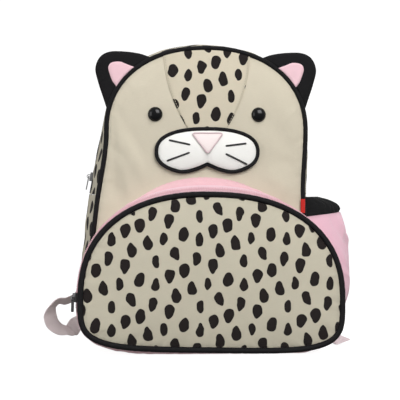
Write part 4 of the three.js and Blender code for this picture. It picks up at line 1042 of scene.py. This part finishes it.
muzzle_grid, muzzle_flat, muzzle_off = pad_grid(
    muzzle, inset=MUZZLE_PIPING + 0.1, rings=48, count=300, front_at=muzzle_relief,
    back_at=lambda x, z, ring, share, off: face_front(x, z) - TOUCH)
muzzle_pad = surface("muzzle_pad", muzzle_grid, muzzle_flat, "c", "middle", muzzle_off)
white_cloth = woven("white_cloth", WHITE, thread=0.5, relief=0.00005, roughness=0.8, sheen=0.3, cloud=0.01,
                    shade=0.06, lustre=0.3)
sew_in(muzzle_pad, white_cloth, "white_fabric", "muzzle")
grid, flat = piping_grid(muzzle, MUZZLE_PIPING, lambda x, z: face_front(x, z) - TOUCH - MUZZLE_PIPING,
                         count=420, sides=14, seed=1.9)
sew_in(surface("muzzle_piping_cord", grid, flat, "rc"), black_strip, "black_piping", "muzzle_border")

# Nose: a soft-cornered triangle of pale pink cloth, point down, laid on the muzzle. A narrow band of dusty
# pink satin stitch goes round it and holds it.
NOSE_HALF_WIDTH, NOSE_TOP, NOSE_DEPTH, NOSE_BAND = 15.5, 216, 20.5, 0.85


def soft_polygon(corners, soft):
    """Straight sides joined by quadratic curves, which each corner pulls between points on its two sides."""
    corners = np.array(corners, float)
    before = mix(corners, np.roll(corners, 1, 0), soft)[:, None]
    after = mix(corners, np.roll(corners, -1, 0), soft)[:, None]
    t = np.linspace(0, 1, 9)[None, :, None]
    return ((1 - t) ** 2 * before + 2 * t * (1 - t) * corners[:, None] + t ** 2 * after).reshape(-1, 2)


def densely(points, count=720):
    """The same closed line with evenly spread points."""
    line = Outline(points)
    return Outline(np.stack(line.at(np.arange(count) / count), -1))


nose = densely(soft_polygon([(HEAD_X - NOSE_HALF_WIDTH, NOSE_TOP), (HEAD_X + NOSE_HALF_WIDTH, NOSE_TOP),
                             (HEAD_X, NOSE_TOP - NOSE_DEPTH)], 0.12))


def on_muzzle(x, z):
    return muzzle_front(x, z) - 0.7


nose_grid, nose_flat, nose_off = pad_grid(
    nose, inset=0.6, rings=20, count=150,
    front_at=lambda x, z, ring, share, off: on_muzzle(x, z) - 0.8 - 0.4 * (1 - ring ** 3),
    back_at=lambda x, z, ring, share, off: on_muzzle(x, z) + 0.2)
nose_patch = surface("nose_cloth", nose_grid, nose_flat, "c", "middle", nose_off)
nose_cloth = woven("nose_pink", paint(250, 234, 232), thread=0.5, relief=0.00005, cloud=0.03, shade=0.05)
sew_in(nose_patch, nose_cloth, "nose_fabric", "nose")


def satin_finish(name, colour, pitch):
    """Satin stitch: threads laid side by side across the line, each a little shiny along its length, with
    painted shade in the grooves between them.
    """
    finish = Finish(name, roughness=0.42, sheen_weight=0.2)
    flat, across, along = finish.cloth()
    shaken = along + finish.noise(flat, 0.9, 1) * 0.35 + across * 0.15
    threads = (shaken * (2 * math.pi / pitch)).sine()
    # Painted shade: the colour follows the thread height, darker in the grooves between threads.
    finish.wear(**{"Base Color": finish.mix(threads * 0.5 + 0.5, toned(colour, 0.72), colour),
                   "Normal": finish.relief(threads * 0.00009)})
    return finish


grid, flat = piping_grid(nose, NOSE_BAND, lambda x, z: on_muzzle(x, z) - 0.75, count=300, sides=10, seed=2.0)
dusty_satin = satin_finish("dusty_pink_satin", paint(240, 214, 218), 0.5)
sew_in(surface("nose_satin_edge", grid, flat, "rc"), dusty_satin, "nose_fabric")

# Whiskers: four embroidered lines of black satin stitch, two to each side of the nose. Each tapers off in a
# round end.
WHISKER_RADIUS = 0.95
WHISKERS = [  # x0, z0, x1, z1, as shares of the muzzle
    ("whisker_upper_left", -0.34, 0.29, -0.76, 0.5),
    ("whisker_lower_left", -0.35, -0.05, -0.8, -0.42),
    ("whisker_upper_right", 0.35, 0.24, 0.77, 0.36),
    ("whisker_lower_right", 0.35, -0.1, 0.79, -0.57),
]
black_satin = satin_finish("black_satin", paint(30, 28, 29), 0.45)
for name, x0, z0, x1, z1 in WHISKERS:
    t = np.linspace(0, 1, 60)[:, None]
    x = HEAD_X + MUZZLE_HALF_WIDTH * mix(x0, x1, t)
    z = MUZZLE_HEIGHT + MUZZLE_RISE * mix(z0, z1, t)
    run = np.array([x1 - x0, z1 - z0]) * (MUZZLE_HALF_WIDTH, MUZZLE_RISE)
    length = np.hypot(*run)
    way = run / length
    turn = np.linspace(0, 2 * math.pi, 11)[None, :-1]
    own = WHISKER_RADIUS * np.maximum(0.02, 1 - np.abs(2 * t - 1) ** 24) ** 0.5
    grid = np.stack([x - way[1] * own * np.cos(turn), on_muzzle(x, z) - 0.2 + 0.8 * own * np.sin(turn),
                     z + way[0] * own * np.cos(turn)], -1)
    line = surface(name + "_stitch", grid, (turn * WHISKER_RADIUS, t * length), "c", "middle")
    sew_in(line, black_satin, "black_thread", name)

# Eyes: glossy black domes of moulded plastic with a thin rolled rim. Each has a shank that is pushed through
# the face and held by a washer behind.
EYE_RISE = 4.4
eye_plastic = Finish("eye_plastic", specular_ior_level=0.3)
eye_marks = eye_plastic.noise(eye_plastic.place(), 900, 2)
eye_plastic.wear(**{"Base Color": eye_plastic.mix(eye_marks, paint(4, 4, 5), paint(14, 15, 17)),
                    "Roughness": eye_marks * 0.06 + 0.14})
for word, side in (("left", -1), ("right", 1)):
    lo, hi = (np.array(corner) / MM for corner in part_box(f"eye_{word}"))
    middle_x, middle_z, radius = (lo[0] + hi[0]) / 2, (lo[2] + hi[2]) / 2, (hi[2] - lo[2]) / 2
    height = hi[1] - lo[1]
    slope_x = (face_front(middle_x + 1, middle_z) - face_front(middle_x - 1, middle_z)) / 2
    slope_z = (face_front(middle_x, middle_z + 1) - face_front(middle_x, middle_z - 1)) / 2
    out = np.array([slope_x, -1, slope_z])
    out = unit(out)
    across = np.cross([0, 0, 1], out)
    across = unit(across)
    upward = np.cross(out, across)
    t = np.linspace(0, 1, 30)
    rise_by = np.concatenate([[0, 0.35, 0.6], mix(0.5, EYE_RISE, np.sin(t * math.pi / 2))])
    far_by = radius * np.concatenate([[0.99, 1, 0.985], 0.93 * np.cos(t * math.pi / 2)]) + 0.001
    turn = np.linspace(0, 2 * math.pi, 49)[:-1]
    seat = np.array([middle_x, float(face_front(middle_x, middle_z)) - 0.3, middle_z])
    grid = (seat + far_by[:, None, None] * (np.cos(turn)[:, None] * across + np.sin(turn)[:, None] * upward)
            + rise_by[:, None, None] * out)
    eye = surface(f"eye_dome_{word}", grid, (turn[None, :], rise_by[:, None]), "c", "middle")
    sew_in(eye, eye_plastic, "eye_plastic", f"eye_{word}")


# Ears: two black padded leaves caught in the top seam behind the piping, each with a pink lining set on its
# front. The stuffing rounds them over towards their edges.
EAR_LOW, EAR_HIGH, EAR_REACH, EAR_THICK, EAR_SWELL = 240, 291, 39, 5, 2.5
INNER_EAR_LOW, INNER_EAR_HIGH = 262, 281
EAR_FRONT = -45.75
EAR_EDGE = [(0.11, 0.27), (0.22, 0.58), (0.35, 0.87), (0.52, 0.97), (0.67, 0.87), (0.81, 0.59), (0.93, 0.26)]
INNER_EAR_EDGE = [(0.37, 0.33), (0.42, 0.49), (0.48, 0.63), (0.56, 0.65), (0.65, 0.51), (0.69, 0.32)]
EAR_PINK = paint(246, 206, 214)


def through(points, count, power=0.5):
    """A smooth curve through points: on each span a cubic whose end slopes come from the points around it,
    spaced by a power of their distances (a Catmull-Rom curve; power 0 spaces them evenly)."""
    points = np.array(points, float)
    points = np.vstack([2 * points[0] - points[1], points, 2 * points[-1] - points[-2]])
    share = np.linspace(0, 1, count) * (len(points) - 3)
    row = np.minimum(share.astype(int), len(points) - 4)
    t = (share - row)[:, None]
    p0, p1, p2, p3 = (points[row + k] for k in range(4))
    d0, d1, d2 = (np.linalg.norm(b - a, axis=1, keepdims=True) ** power
                  for a, b in ((p0, p1), (p1, p2), (p2, p3)))
    slope1 = ((p1 - p0) / d0 - (p2 - p0) / (d0 + d1) + (p2 - p1) / d1) * d1
    slope2 = ((p2 - p1) / d1 - (p3 - p1) / (d1 + d2) + (p3 - p2) / d2) * d1
    return (p1 + slope1 * t + (3 * (p2 - p1) - 2 * slope1 - slope2) * t ** 2
            + (2 * (p1 - p2) + slope1 + slope2) * t ** 3)


def ear_outline(side, low, high, edge, offset):
    """The ear's plan: its free edge through the rows of edge, along the seam and out, and its base."""
    def on_seam(share, out):
        x, z = body.at(share)
        out_x, out_z = body.out(share)
        return np.stack([x + out_x * out, z + out_z * out], -1)

    start = on_seam(body.at_height(EAR_LOW), SEAM_ROOM)
    along = on_seam(body.at_height(EAR_HIGH), SEAM_ROOM) - start
    out = np.array([along[1], -along[0]]) / np.hypot(*along) * EAR_REACH
    low_share, high_share = body.at_height(low), body.at_height(high)
    rows = np.array(edge)
    free = through(np.vstack([on_seam(low_share, offset), start + along * rows[:, :1] + out * rows[:, 1:],
                              on_seam(high_share, offset)]), 120, 0)
    base = on_seam(np.linspace(high_share, low_share, 60)[1:-1], offset)
    plan = np.vstack([free, base])
    plan[:, 0] = HEAD_X + side * (plan[:, 0] - HEAD_X)
    return densely(plan[::-1] if side > 0 else plan, 960)


black_cloth = woven("black_cloth", BLACK, thread=0.6, relief=0.00008, roughness=0.75, sheen=0.04, cloud=0.1,
                    shade=0.1, lustre=0.14)
lining_cloth = woven("lining_pink", EAR_PINK, thread=0.5, relief=0.00006, roughness=0.75, cloud=0.04,
                     shade=0.1)
for word, side in (("left", -1), ("right", 1)):
    ear = ear_outline(side, EAR_LOW, EAR_HIGH, EAR_EDGE, SEAM_ROOM - 1)

    def ear_front(x, z, ring, share, off):
        crease = 0.5 * np.exp(-(((x - HEAD_X) * side - 76) * 0.62 + (z - 262) * 0.78) ** 2 / 30)
        return (EAR_FRONT + 1.6 - 2.0 * (1 - np.exp(-off / 2.2)) + crease * smooth(0, 8, off)
                - pucker(share, off, ear.whole, high=0.3, seed=1.4, length=7, decay=4))

    def ear_back(x, z, ring, share, off):
        return EAR_FRONT + EAR_THICK - 1.4 + (EAR_SWELL + 1.4) * (1 - np.exp(-off / 3))

    ear_grid, ear_flat, ear_off = pad_grid(ear, inset=0, rings=34, count=240, front_at=ear_front,
                                           back_at=ear_back)
    leaf = surface(f"ear_leaf_{word}", ear_grid, ear_flat, "c", "middle", ear_off)
    sew_in(leaf, black_cloth, "black_fabric", f"ear_{word}")
    lining = ear_outline(side, INNER_EAR_LOW, INNER_EAR_HIGH, INNER_EAR_EDGE, SEAM_ROOM - 1)
    lining_grid, lining_flat, lining_off = pad_grid(
        lining, inset=0, rings=20, count=160,
        front_at=lambda x, z, ring, share, off: EAR_FRONT - 0.5 - 0.9 * (1 - np.exp(-off / 0.9)),
        back_at=lambda x, z, ring, share, off: EAR_FRONT + 0.2)
    inner = surface(f"ear_lining_{word}", lining_grid, lining_flat, "c", "middle", lining_off)
    sew_in(inner, lining_cloth, "pink_fabric", f"ear_inner_{word}")

# Side pocket: a pouch of pink cloth on the right gusset, gathered at its mouth into a wide black elastic. The
# gathers fall from the elastic and fade lower down, where the cloth hangs full.
POUCH_FRONT_Y, POUCH_BACK_Y, POUCH_LOW, POUCH_CLEARANCE = -38, 32, 20, 0.6
BAND_HEIGHT, POUCH_REACH, BAND_WIDTH, BAND_REACH, POUCH_DRAW, POUCH_NECK = 133, 37, 20, 10, 0.16, 2.6
POUCH_PINK = paint(246, 196, 212)
POUCH_FOLDS = [  # x0, z0, x1, z1, wide, high
    (2, 130, 16, 70, 3.0, 2.2),
    (8, 132, 27, 88, 2.6, -2.0),
    (15, 132, 32, 96, 2.6, 1.8),
    (1, 112, 14, 46, 3.2, -1.8),
    (25, 130, 28, 70, 3.2, -1.6),
    (1, 92, 24, 60, 2.6, 1.6),
    (52, 130, 44, 66, 4.5, 1.4),
    (60, 122, 58, 50, 4.0, -1.0),
    (4, 72, 40, 40, 5.0, 0.9),
]


def pouch_reach(z):
    """How far the pouch stands out: quickly full above its base, then drawn in by the elastic."""
    up = np.clip((z - POUCH_LOW) / (BAND_HEIGHT - POUCH_LOW), 0, 1)
    full = POUCH_REACH * np.sqrt(1 - (1 - up) ** 4) * (1 - POUCH_DRAW * up ** 6)
    return mix(full, BAND_REACH, np.clip((z - BAND_HEIGHT) / BAND_WIDTH, 0, 1) ** POUCH_NECK)


def pouch_skin(z, depth, inset, gather=0):
    y = mix(POUCH_FRONT_Y, POUCH_BACK_Y, depth)
    bow = np.maximum(0, 1 - np.abs(2 * depth - 1) ** 2.4) ** 0.6
    off = POUCH_CLEARANCE + CLOTH_THICK - inset + (pouch_reach(z) + gather) * bow
    return body_skin(body.at_height(z), y, -off)


def pouch_wall(name, low, high, rows, gather_at, finish, slot_name, node):
    z = np.linspace(low, high, rows)[:, None]
    depth = (1 - np.cos(math.pi * np.linspace(0, 1, 120)))[None, :] / 2
    outer = pouch_skin(z, depth, 0, gather_at(z, depth))
    inner = pouch_skin(z, depth, CLOTH_THICK, gather_at(z, depth) * 0.5)
    near = np.minimum(z - low, high - z) + 0 * depth
    run = (POUCH_BACK_Y - POUCH_FRONT_Y) * 1.5 * depth + 0 * z
    piece = shell(name, outer, inner, run, z, near)
    return sew_in(piece, finish, slot_name, node)


def pouch_gathers(z, depth):
    """Ripples across the mouth that fade downwards, over the long folds of the hanging cloth."""
    mouth = np.exp(-(BAND_HEIGHT - z) / 22)
    return (1.1 * ripple(depth, 11, 1.2) * mouth + folds(70 * depth, z, POUCH_FOLDS)
            + 0.5 * ripple(depth + z / 400, 3, 2.0))


def band_gathers(z, depth):
    """The elastic's own ruched ribs, upright and close together, flattest along its two hems."""
    up = (z - BAND_HEIGHT) / BAND_WIDTH
    hem = smooth(0, 0.18, up) * smooth(0, 0.18, 1 - up)
    return (0.7 + 1.3 * hem) * ripple(depth + 0.012 * np.sin(9 * up), 9, 3.3) - 1.6 + 0.8 * hem


pouch_cloth = woven("pouch_pink", POUCH_PINK, thread=0.5, relief=0.00006, roughness=0.5, sheen=0.4, cloud=0.08,
                    shade=0.2, lustre=0.5)
pouch_wall("side_pocket_cloth", POUCH_LOW, BAND_HEIGHT - TOUCH, 110, pouch_gathers, pouch_cloth, "pink_fabric",
           "side_pocket")
elastic = piping_finish("ruched_elastic", paint(20, 20, 21))
pouch_wall("side_pocket_elastic", BAND_HEIGHT, BAND_HEIGHT + BAND_WIDTH, 30, band_gathers, elastic, "elastic",
           "side_pocket_band")

def boxy(wave, power):
    """A sine or cosine with its middle pushed out, which turns a circle into a rounded box."""
    return np.sign(wave) * np.abs(wave) ** power


# Label tab: a short folded loop of plain red ribbon. Its two ends are caught in the front seam beside the
# side pocket.
tab_low, tab_high = (np.array(corner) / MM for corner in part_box("label_tab"))
tab_size = tab_high - tab_low
height = np.linspace(0, 1, 30)[:, None]
turn = (2 * math.pi * np.arange(28) / 28)[None, :]
lens_x = boxy(np.cos(turn), 0.6)
lens_y = boxy(np.sin(turn), 0.6)
curl = 0.5 * np.sin(height * 3)
grid = set_out(
    tab_low[0] + tab_size[0] / 2 * (1 + lens_x),
    tab_low[1] + tab_size[1] / 2 * (1 + 0.9 * lens_y) - curl * 0.4,
    tab_low[2] + tab_size[2] * height)
ribbon = surface("label_ribbon", grid, (tab_size[0] * lens_x / 2, tab_size[2] * height), "c", "middle")
sew_in(ribbon, woven("red_ribbon", paint(216, 48, 42), thread=0.45, relief=0.0001, roughness=0.6, cloud=0.04),
       "red_ribbon", "label_tab")

# Webbing: narrow ribbed polyester strip in dusty pink. One strip makes the handle, leaning back from the top
# seam, and one adjusts each shoulder strap through its buckle from a tab sewn into the low side seam.
WEBBING_WIDTH, WEBBING_THICK, WEBBING_SQUARE = 16, 1.5, 0.35
DUSTY_PINK = paint(250, 232, 234)
HANDLE_SPAN, HANDLE_RISE, HANDLE_TILT_DEG = 48, 20, 70


def carried(route, sides_along, width, thick, count, roundness, section=24, swell=None, edge=0.0):
    """A flat band carried along a smooth route: its section is a rounded box, whose half width lies along
    the side that each route point gives. swell(share) thins its ends; edge is the height of rolled edges."""
    path = through(route, count)
    along = unit(np.gradient(path, axis=0))
    last = len(route) - 1
    share = np.linspace(0, 1, count)
    row = np.minimum((share * last).astype(int), last - 1)
    sides_along = np.array(sides_along, float)
    way = mix(sides_along[row], sides_along[row + 1], (share * last - row)[:, None])
    way = unit(way - along * (way * along).sum(1, keepdims=True))
    out = np.cross(along, way)
    turn = 2 * math.pi * (np.arange(section) + 0.5) / section
    w = boxy(np.cos(turn), roundness)
    t = boxy(np.sin(turn), roundness) * (1 + edge * np.abs(w) ** 6)
    size = np.ones(count) if swell is None else swell(share)
    grid = (path[:, None] + way[:, None] * (w * width / 2)[:, None] * (0.5 + 0.5 * size[:, None, None])
            + out[:, None] * (t * thick / 2)[:, None] * size[:, None, None])
    length = np.concatenate([[0], np.cumsum(np.linalg.norm(np.diff(path, axis=0), axis=1))])
    return grid, (w[None, :] * width / 2, length[:, None]), (path, along, way, out)


def webbing_finish(name, colour):
    """Ribbed webbing: chevron ridges across the strip, raised edges of turned threads, a dry face, with
    painted shade between the ridges and painted light on them.
    """
    finish = Finish(name, roughness=0.8, sheen_weight=0.2, specular_ior_level=0.2)
    flat, across, along = finish.cloth()
    chevron = finish.node("Math", {"operation": "PINGPONG"}, {0: across + 16, 1: 2.0})
    ridge = ((along + chevron * 0.8) * (2 * math.pi / 1.5)).sine()
    fibre = finish.noise(finish.node("Mapping", {}, {"Vector": flat, "Scale": (3, 0.6, 1)}), 1.2, 2)
    wear = finish.noise(finish.place(), 60, 3)
    # Painted shade and light: the colour follows the ridge and fibre heights, darker where they are low and
    # lighter where high; the wear noise is the strip's own uneven tone.
    tone = finish.mix(ridge * 0.25 + fibre * 0.5 + wear * 0.4 - 0.05, toned(colour, 0.86),
                      toned(colour, 1.1))
    finish.wear(**{"Base Color": tone,
                   "Normal": finish.relief(ridge * 0.00014 + fibre * 0.0001)})
    return finish


webbing = webbing_finish("dusty_pink_webbing", DUSTY_PINK)
tilt = math.radians(HANDLE_TILT_DEG)
rise = np.array([0, math.sin(tilt), math.cos(tilt)])
route = []
for across in (-1, -0.98, -0.7, 0, 0.7, 0.98, 1):
    x = HEAD_X + HANDLE_SPAN / 2 * across
    seat_x = HEAD_X + HANDLE_SPAN / 2 * (np.sign(across) or 1)
    lift = 0 if abs(across) == 1 else HANDLE_RISE * (1 - abs(across) ** 5)
    seat = np.array([x, BODY_HALF_DEPTH, float(crown_top(seat_x))])
    route.append(seat + rise * (BODY_PIPING + 3 * TOUCH + lift))
grid, flat, _ = carried(route, [(0, math.cos(tilt), -math.sin(tilt))] * 7, WEBBING_WIDTH, WEBBING_THICK, 150,
                        WEBBING_SQUARE)
sew_in(surface("handle_webbing", grid, flat, "c", "middle"), webbing, "webbing", "handle")

# Shoulder straps: two curved pads of black cloth, bound along their edges, each stitched into the back panel
# at the top and ending in a buckle. A row of stitches runs down inside each edge.
STRAP_WIDTH, STRAP_THICK, STRAP_TOP_X, STRAP_LOW_X = 42, 9, 34, 98
STRAP_TOP, STRAP_LOW, STRAP_STAND_OFF = 272, 95, 43
STRAP_ROUTE = [(0, 0, 0), (0, 0.12, 0), (0.02, 0.38, -0.012), (0.07, 0.68, 0.06), (0.19, 0.93, 0.237),
               (0.41, 1, 0.475), (0.66, 0.885, 0.69), (0.875, 0.68, 0.87), (1, 0.45, 1)]
BUCKLE_WIDTH, BUCKLE_LENGTH, BUCKLE_THICK, BUCKLE_BAR = 26, 24, 2.4, 3.5
ANCHOR_HEIGHT, ANCHOR_LENGTH, ANCHOR_WIDTH, ANCHOR_THICK = 24, 12, 20, 3
LOOP_REACH, LOOP_LOW, LOOP_RISE = 29, 10.8, 32
TAIL_REACH, TAIL_LENGTH, TAIL_RISE, STRAP_SWING = 24.3, 93, 45, 25
WEBBING_LOOP = [  # out, up, ahead, the way its width lies
    (0.24, 0.01, 0.07, (-0.3, 0.75, 0.6)),
    (0.43, 0.03, 0.14, (-0.1, 0.85, 0.5)),
    (0.68, 0.08, 0.21, (0.1, 0.67, 0.74)),
    (0.92, 0.26, 0.24, (0.6, 0.5, 0.6)),
    (1, 0.5, 0.24, (0.85, 0.5, 0.1)),
    (0.9, 0.83, 0.21, (0.3, 0.9, -0.2)),
    (0.71, 0.99, 0.17, (0.1, 0.9, -0.4)),
    (0.42, 1, 0.07, (0, 0.85, -0.5)),
    (0.08, 1.15, -0.17, (0.4, 0.9, -0.1)),
]
WEBBING_TAIL = [  # out, up, ahead, the way its width lies
    (0.24, 1, 0, (-1, 0, 0)),
    (0.82, 0.38, 0.11, (-0.8, -0.6, 0)),
    (0.65, 0.155, 0.52, (-0.75, -0.5, -0.3)),
    (0.84, 0.115, 0.77, (-0.85, -0.4, -0.3)),
    (1, 0.096, 1, (-0.85, -0.4, -0.3)),
]
buckle_plastic = Finish("buckle_plastic", specular_ior_level=0.45)
grain = buckle_plastic.noise(buckle_plastic.place(), 1400, 3)
# Painted shade and light: the colour follows the grain height, darker in its pits and lighter on its tops.
buckle_plastic.wear(**{"Base Color": buckle_plastic.mix(grain, paint(20, 20, 22), paint(42, 41, 44)),
                       "Roughness": grain * 0.25 + 0.35,
                       "Normal": buckle_plastic.relief(grain, 0.5, 0.0002)})


BAR_SECTION, BAR_SQUARE = 14, 0.6
STRAP_STATIONS, STRAP_SECTION, STRAP_SQUARE, STRAP_ROLLED_EDGE = 200, 40, 0.55, 0.25
STRAP_STITCH_ROW, STRAP_STITCH_PITCH, STRAP_STITCH_DEPTH, STRAP_STITCH_CLEAR = 0.38, 3.4, 0.97, 6
BUCKLE_CORNER = 3.0
TAB_STATIONS = 24
WEBBING_STATIONS = 420


def moulded_bar(name, line, closed, half_wide, half_thick, facing):
    """A moulded bar: a rounded-box section carried along its line, closed or open, facing one way."""
    path = np.array(line, float) if closed else through(line, 24)
    along = unit(np.roll(path, -1, 0) - np.roll(path, 1, 0) if closed else np.gradient(path, axis=0))
    side = np.cross(facing, along)
    turn = 2 * math.pi * np.arange(BAR_SECTION) / BAR_SECTION
    w = boxy(np.cos(turn), BAR_SQUARE) * half_wide
    t = boxy(np.sin(turn), BAR_SQUARE) * half_thick
    grid = path[:, None] + side[:, None] * w[:, None] + facing * t[:, None]
    run = np.arange(len(path))[:, None] * 1.0
    return surface(name, grid, (w[None, :], run), "rc" if closed else "c", None if closed else "middle")


for word, side, slant_deg in (("left", -1, 0), ("right", 1, 80)):
    rows = np.array(STRAP_ROUTE)
    route = np.stack([side * mix(STRAP_TOP_X, STRAP_LOW_X, rows[:, 0]),
                      BODY_HALF_DEPTH + BACK_PADDING + TOUCH + STRAP_STAND_OFF * rows[:, 1],
                      mix(STRAP_TOP, STRAP_LOW, rows[:, 2])], -1)
    grid, flat, (path, along, way, out) = carried(
        route, [(1, 0, 0)] * len(route), STRAP_WIDTH, STRAP_THICK, STRAP_STATIONS, STRAP_SQUARE, STRAP_SECTION,
        lambda share: 0.82 + 0.18 * np.minimum(1, 10 * np.minimum(share, 1 - share)) ** 0.5, STRAP_ROLLED_EDGE)
    strap = surface(f"strap_pad_{word}", grid, flat, "c", "middle",
                    np.broadcast_to((STRAP_WIDTH / 2 - np.abs(flat[0])), grid.shape[:2]))
    sew_in(strap, strong_black, "strap_fabric", f"strap_{word}")
    for edge_word, edge_side in (("inner", -1), ("outer", 1)):
        for face_word, face_side in (("front", 1), ("back", -1)):
            line = (path + way * edge_side * STRAP_WIDTH * STRAP_STITCH_ROW
                    + out * face_side * STRAP_THICK * 0.5 * STRAP_STITCH_DEPTH)
            at, ahead = spaced(line[STRAP_STITCH_CLEAR:-STRAP_STITCH_CLEAR], STRAP_STITCH_PITCH)
            facing = read_along(np.linspace(0, 1, len(at)), np.linspace(0, 1, len(out)), out)
            name = f"strap_stitches_{word}_{edge_word}_{face_word}"
            sew_in(beads(name, at, ahead, facing, long=2.4, wide=0.6, high=0.6), black_thread, "black_thread")

    # Its buckle: two windows in a moulded frame, which the webbing goes round and back through.
    down = unit(route[-1] - route[-2])
    level = unit(np.array([1, 0, 0]) - down * down[0])
    ladder_side = -side * level
    out_way = -np.cross(down, level)
    out_way *= -1 if out_way[1] < 0 else 1
    origin = route[-1] + down * TOUCH
    half_bar, half_width = BUCKLE_BAR / 2, BUCKLE_WIDTH / 2 - BUCKLE_BAR / 2
    quarter = np.linspace(0, math.pi / 2, 7)
    frame_line = []
    for sx, sl, start_deg in ((1, 1, 0), (-1, 1, 90), (-1, -1, 180), (1, -1, 270)):
        turn = quarter + math.radians(start_deg)
        over = sx * (half_width - BUCKLE_CORNER)
        below = BUCKLE_LENGTH / 2 + sl * (BUCKLE_LENGTH / 2 - half_bar - BUCKLE_CORNER)
        frame_line += [(over + BUCKLE_CORNER * math.cos(a), below + BUCKLE_CORNER * math.sin(a)) for a in turn]
    frame_3d = [origin + level * a + down * b for a, b in frame_line]
    middle_bar = [origin + level * a + down * BUCKLE_LENGTH / 2 for a in (-half_width, 0, half_width)]
    buckle_frame = moulded_bar(f"buckle_frame_{word}", frame_3d, True, half_bar, BUCKLE_THICK / 2, out_way)
    sew_in(buckle_frame, buckle_plastic, "buckle_plastic", f"buckle_{word}")
    buckle_bar = moulded_bar(f"buckle_bar_{word}", middle_bar, False, half_bar, BUCKLE_THICK / 2, out_way)
    sew_in(buckle_bar, buckle_plastic, "buckle_plastic")

    # Its tab in the low side seam: a folded strip of the webbing that widens to the seam.
    share = body.at_height(ANCHOR_HEIGHT, side)
    seam_point, seam_out = (np.array([float(v) for v in found]) for found in (body.at(share), body.out(share)))
    angle = side * math.radians(slant_deg)
    slant = np.array([seam_out[0] * math.cos(angle) - seam_out[1] * math.sin(angle),
                      seam_out[0] * math.sin(angle) + seam_out[1] * math.cos(angle)])
    seam_up = np.array([-seam_out[1], seam_out[0]]) * side * ANCHOR_WIDTH / 2
    across_end = np.array([-slant[1], slant[0]]) * side * (WEBBING_WIDTH / 2 + TOUCH)
    root = seam_point + seam_out * (BODY_PIPING + TOUCH)
    tip = root + slant * ANCHOR_LENGTH * (1 + slant_deg / 120)
    t = np.linspace(0, 1, TAB_STATIONS)[:, None]
    turn = (2 * math.pi * np.arange(TAB_STATIONS) / TAB_STATIONS)[None, :]
    w = boxy(np.cos(turn), 0.4)
    thick = boxy(np.sin(turn), 0.5) * ANCHOR_THICK / 2
    centre = mix(root, tip, t[..., None])[:, 0]
    reach_up = mix(seam_up, across_end, t[..., None])[:, 0]
    grid = np.stack([centre[:, :1] + reach_up[:, :1] * w,
                     BODY_HALF_DEPTH + thick * (1 - 0.25 * np.exp(-((t - 0.8) / 0.08) ** 2)),
                     centre[:, 1:] + reach_up[:, 1:] * w], -1)
    tab = surface(f"anchor_tab_{word}", grid, (w * WEBBING_WIDTH / 2, t * ANCHOR_LENGTH), "c", "middle")
    sew_in(tab, webbing, "webbing", f"anchor_{word}")

    # Its webbing, from the tab to the buckle, round the middle bar, and down again to its end.
    bar = BUCKLE_BAR + (BUCKLE_LENGTH - 3 * BUCKLE_BAR) / 2
    clear = BUCKLE_THICK / 2 + WEBBING_THICK / 2 + 2 * TOUCH
    ladder = [origin + down * l + out_way * n for l, n in (
        (BUCKLE_LENGTH + 4, -clear), (bar + BUCKLE_BAR, -clear - 0.2), (bar, -clear * 0.9),
        (bar - clear * 0.8, 0), (bar, clear * 0.9), (bar + BUCKLE_BAR, clear + 0.2),
        (BUCKLE_LENGTH + 4, clear))]
    leave = np.array([slant[0], 0, slant[1]])
    seam_side = np.array([across_end[0], 0, across_end[1]])
    start = np.array([tip[0], BODY_HALF_DEPTH, tip[1]]) + leave * TOUCH
    rows = [(start, seam_side), (start + leave * 2 * WEBBING_THICK, seam_side)]
    if side < 0:
        rows += [((start[0] - LOOP_REACH * out_by, BODY_HALF_DEPTH - LOOP_REACH * ahead,
                   LOOP_LOW + LOOP_RISE * up), lie) for out_by, up, ahead, lie in WEBBING_LOOP]
    else:
        rows.append(((start[0] - 2 * WEBBING_THICK, BODY_HALF_DEPTH + WEBBING_WIDTH / 2,
                      start[2] + ANCHOR_LENGTH), ladder_side))
    rows += [(at, ladder_side) for at in ladder]
    if side > 0:
        rows += [((start[0] + TAIL_REACH * out_by, BODY_HALF_DEPTH + STRAP_SWING - TAIL_LENGTH * ahead,
                   TAIL_RISE * up), lie) for out_by, up, ahead, lie in WEBBING_TAIL]
    grid, flat, _ = carried(*zip(*rows), WEBBING_WIDTH, WEBBING_THICK, WEBBING_STATIONS, WEBBING_SQUARE)
    strip = surface(f"webbing_strip_{word}", grid, flat, "c", "middle")
    sew_in(strip, webbing, "webbing", f"webbing_{word}")

# Sliders and pulls: die-cast steel-coloured metal, tumbled smooth, with the pull's window over the slider's
# crown. The CAD pieces show themselves, each with its own wear.
def cast_metal(name, low, high, rough):
    finish = Finish(name, metallic=1.0)
    place = finish.place()
    rub = finish.noise(place, 420, 4)
    scratch = finish.noise(finish.node("Mapping", {}, {"Vector": place, "Scale": (4, 1, 0.3)}), 900, 3)
    finish.wear(**{"Base Color": finish.mix(rub, low, high), "Roughness": scratch * 0.3 + rough,
                   "Normal": finish.relief(scratch, 0.5, 0.00005)})
    return finish


steel = cast_metal("cast_steel", paint(150, 150, 152), paint(208, 208, 210), 0.2)
dark_steel = cast_metal("dark_pull", paint(70, 68, 70), paint(120, 118, 120), 0.3)
for node, finish in (("main_slider", steel), ("main_pull", steel), ("pocket_slider", steel),
                     ("pocket_pull", dark_steel)):
    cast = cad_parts[node]
    cast.data.materials.clear()
    cast.data.materials.append(finish.material)
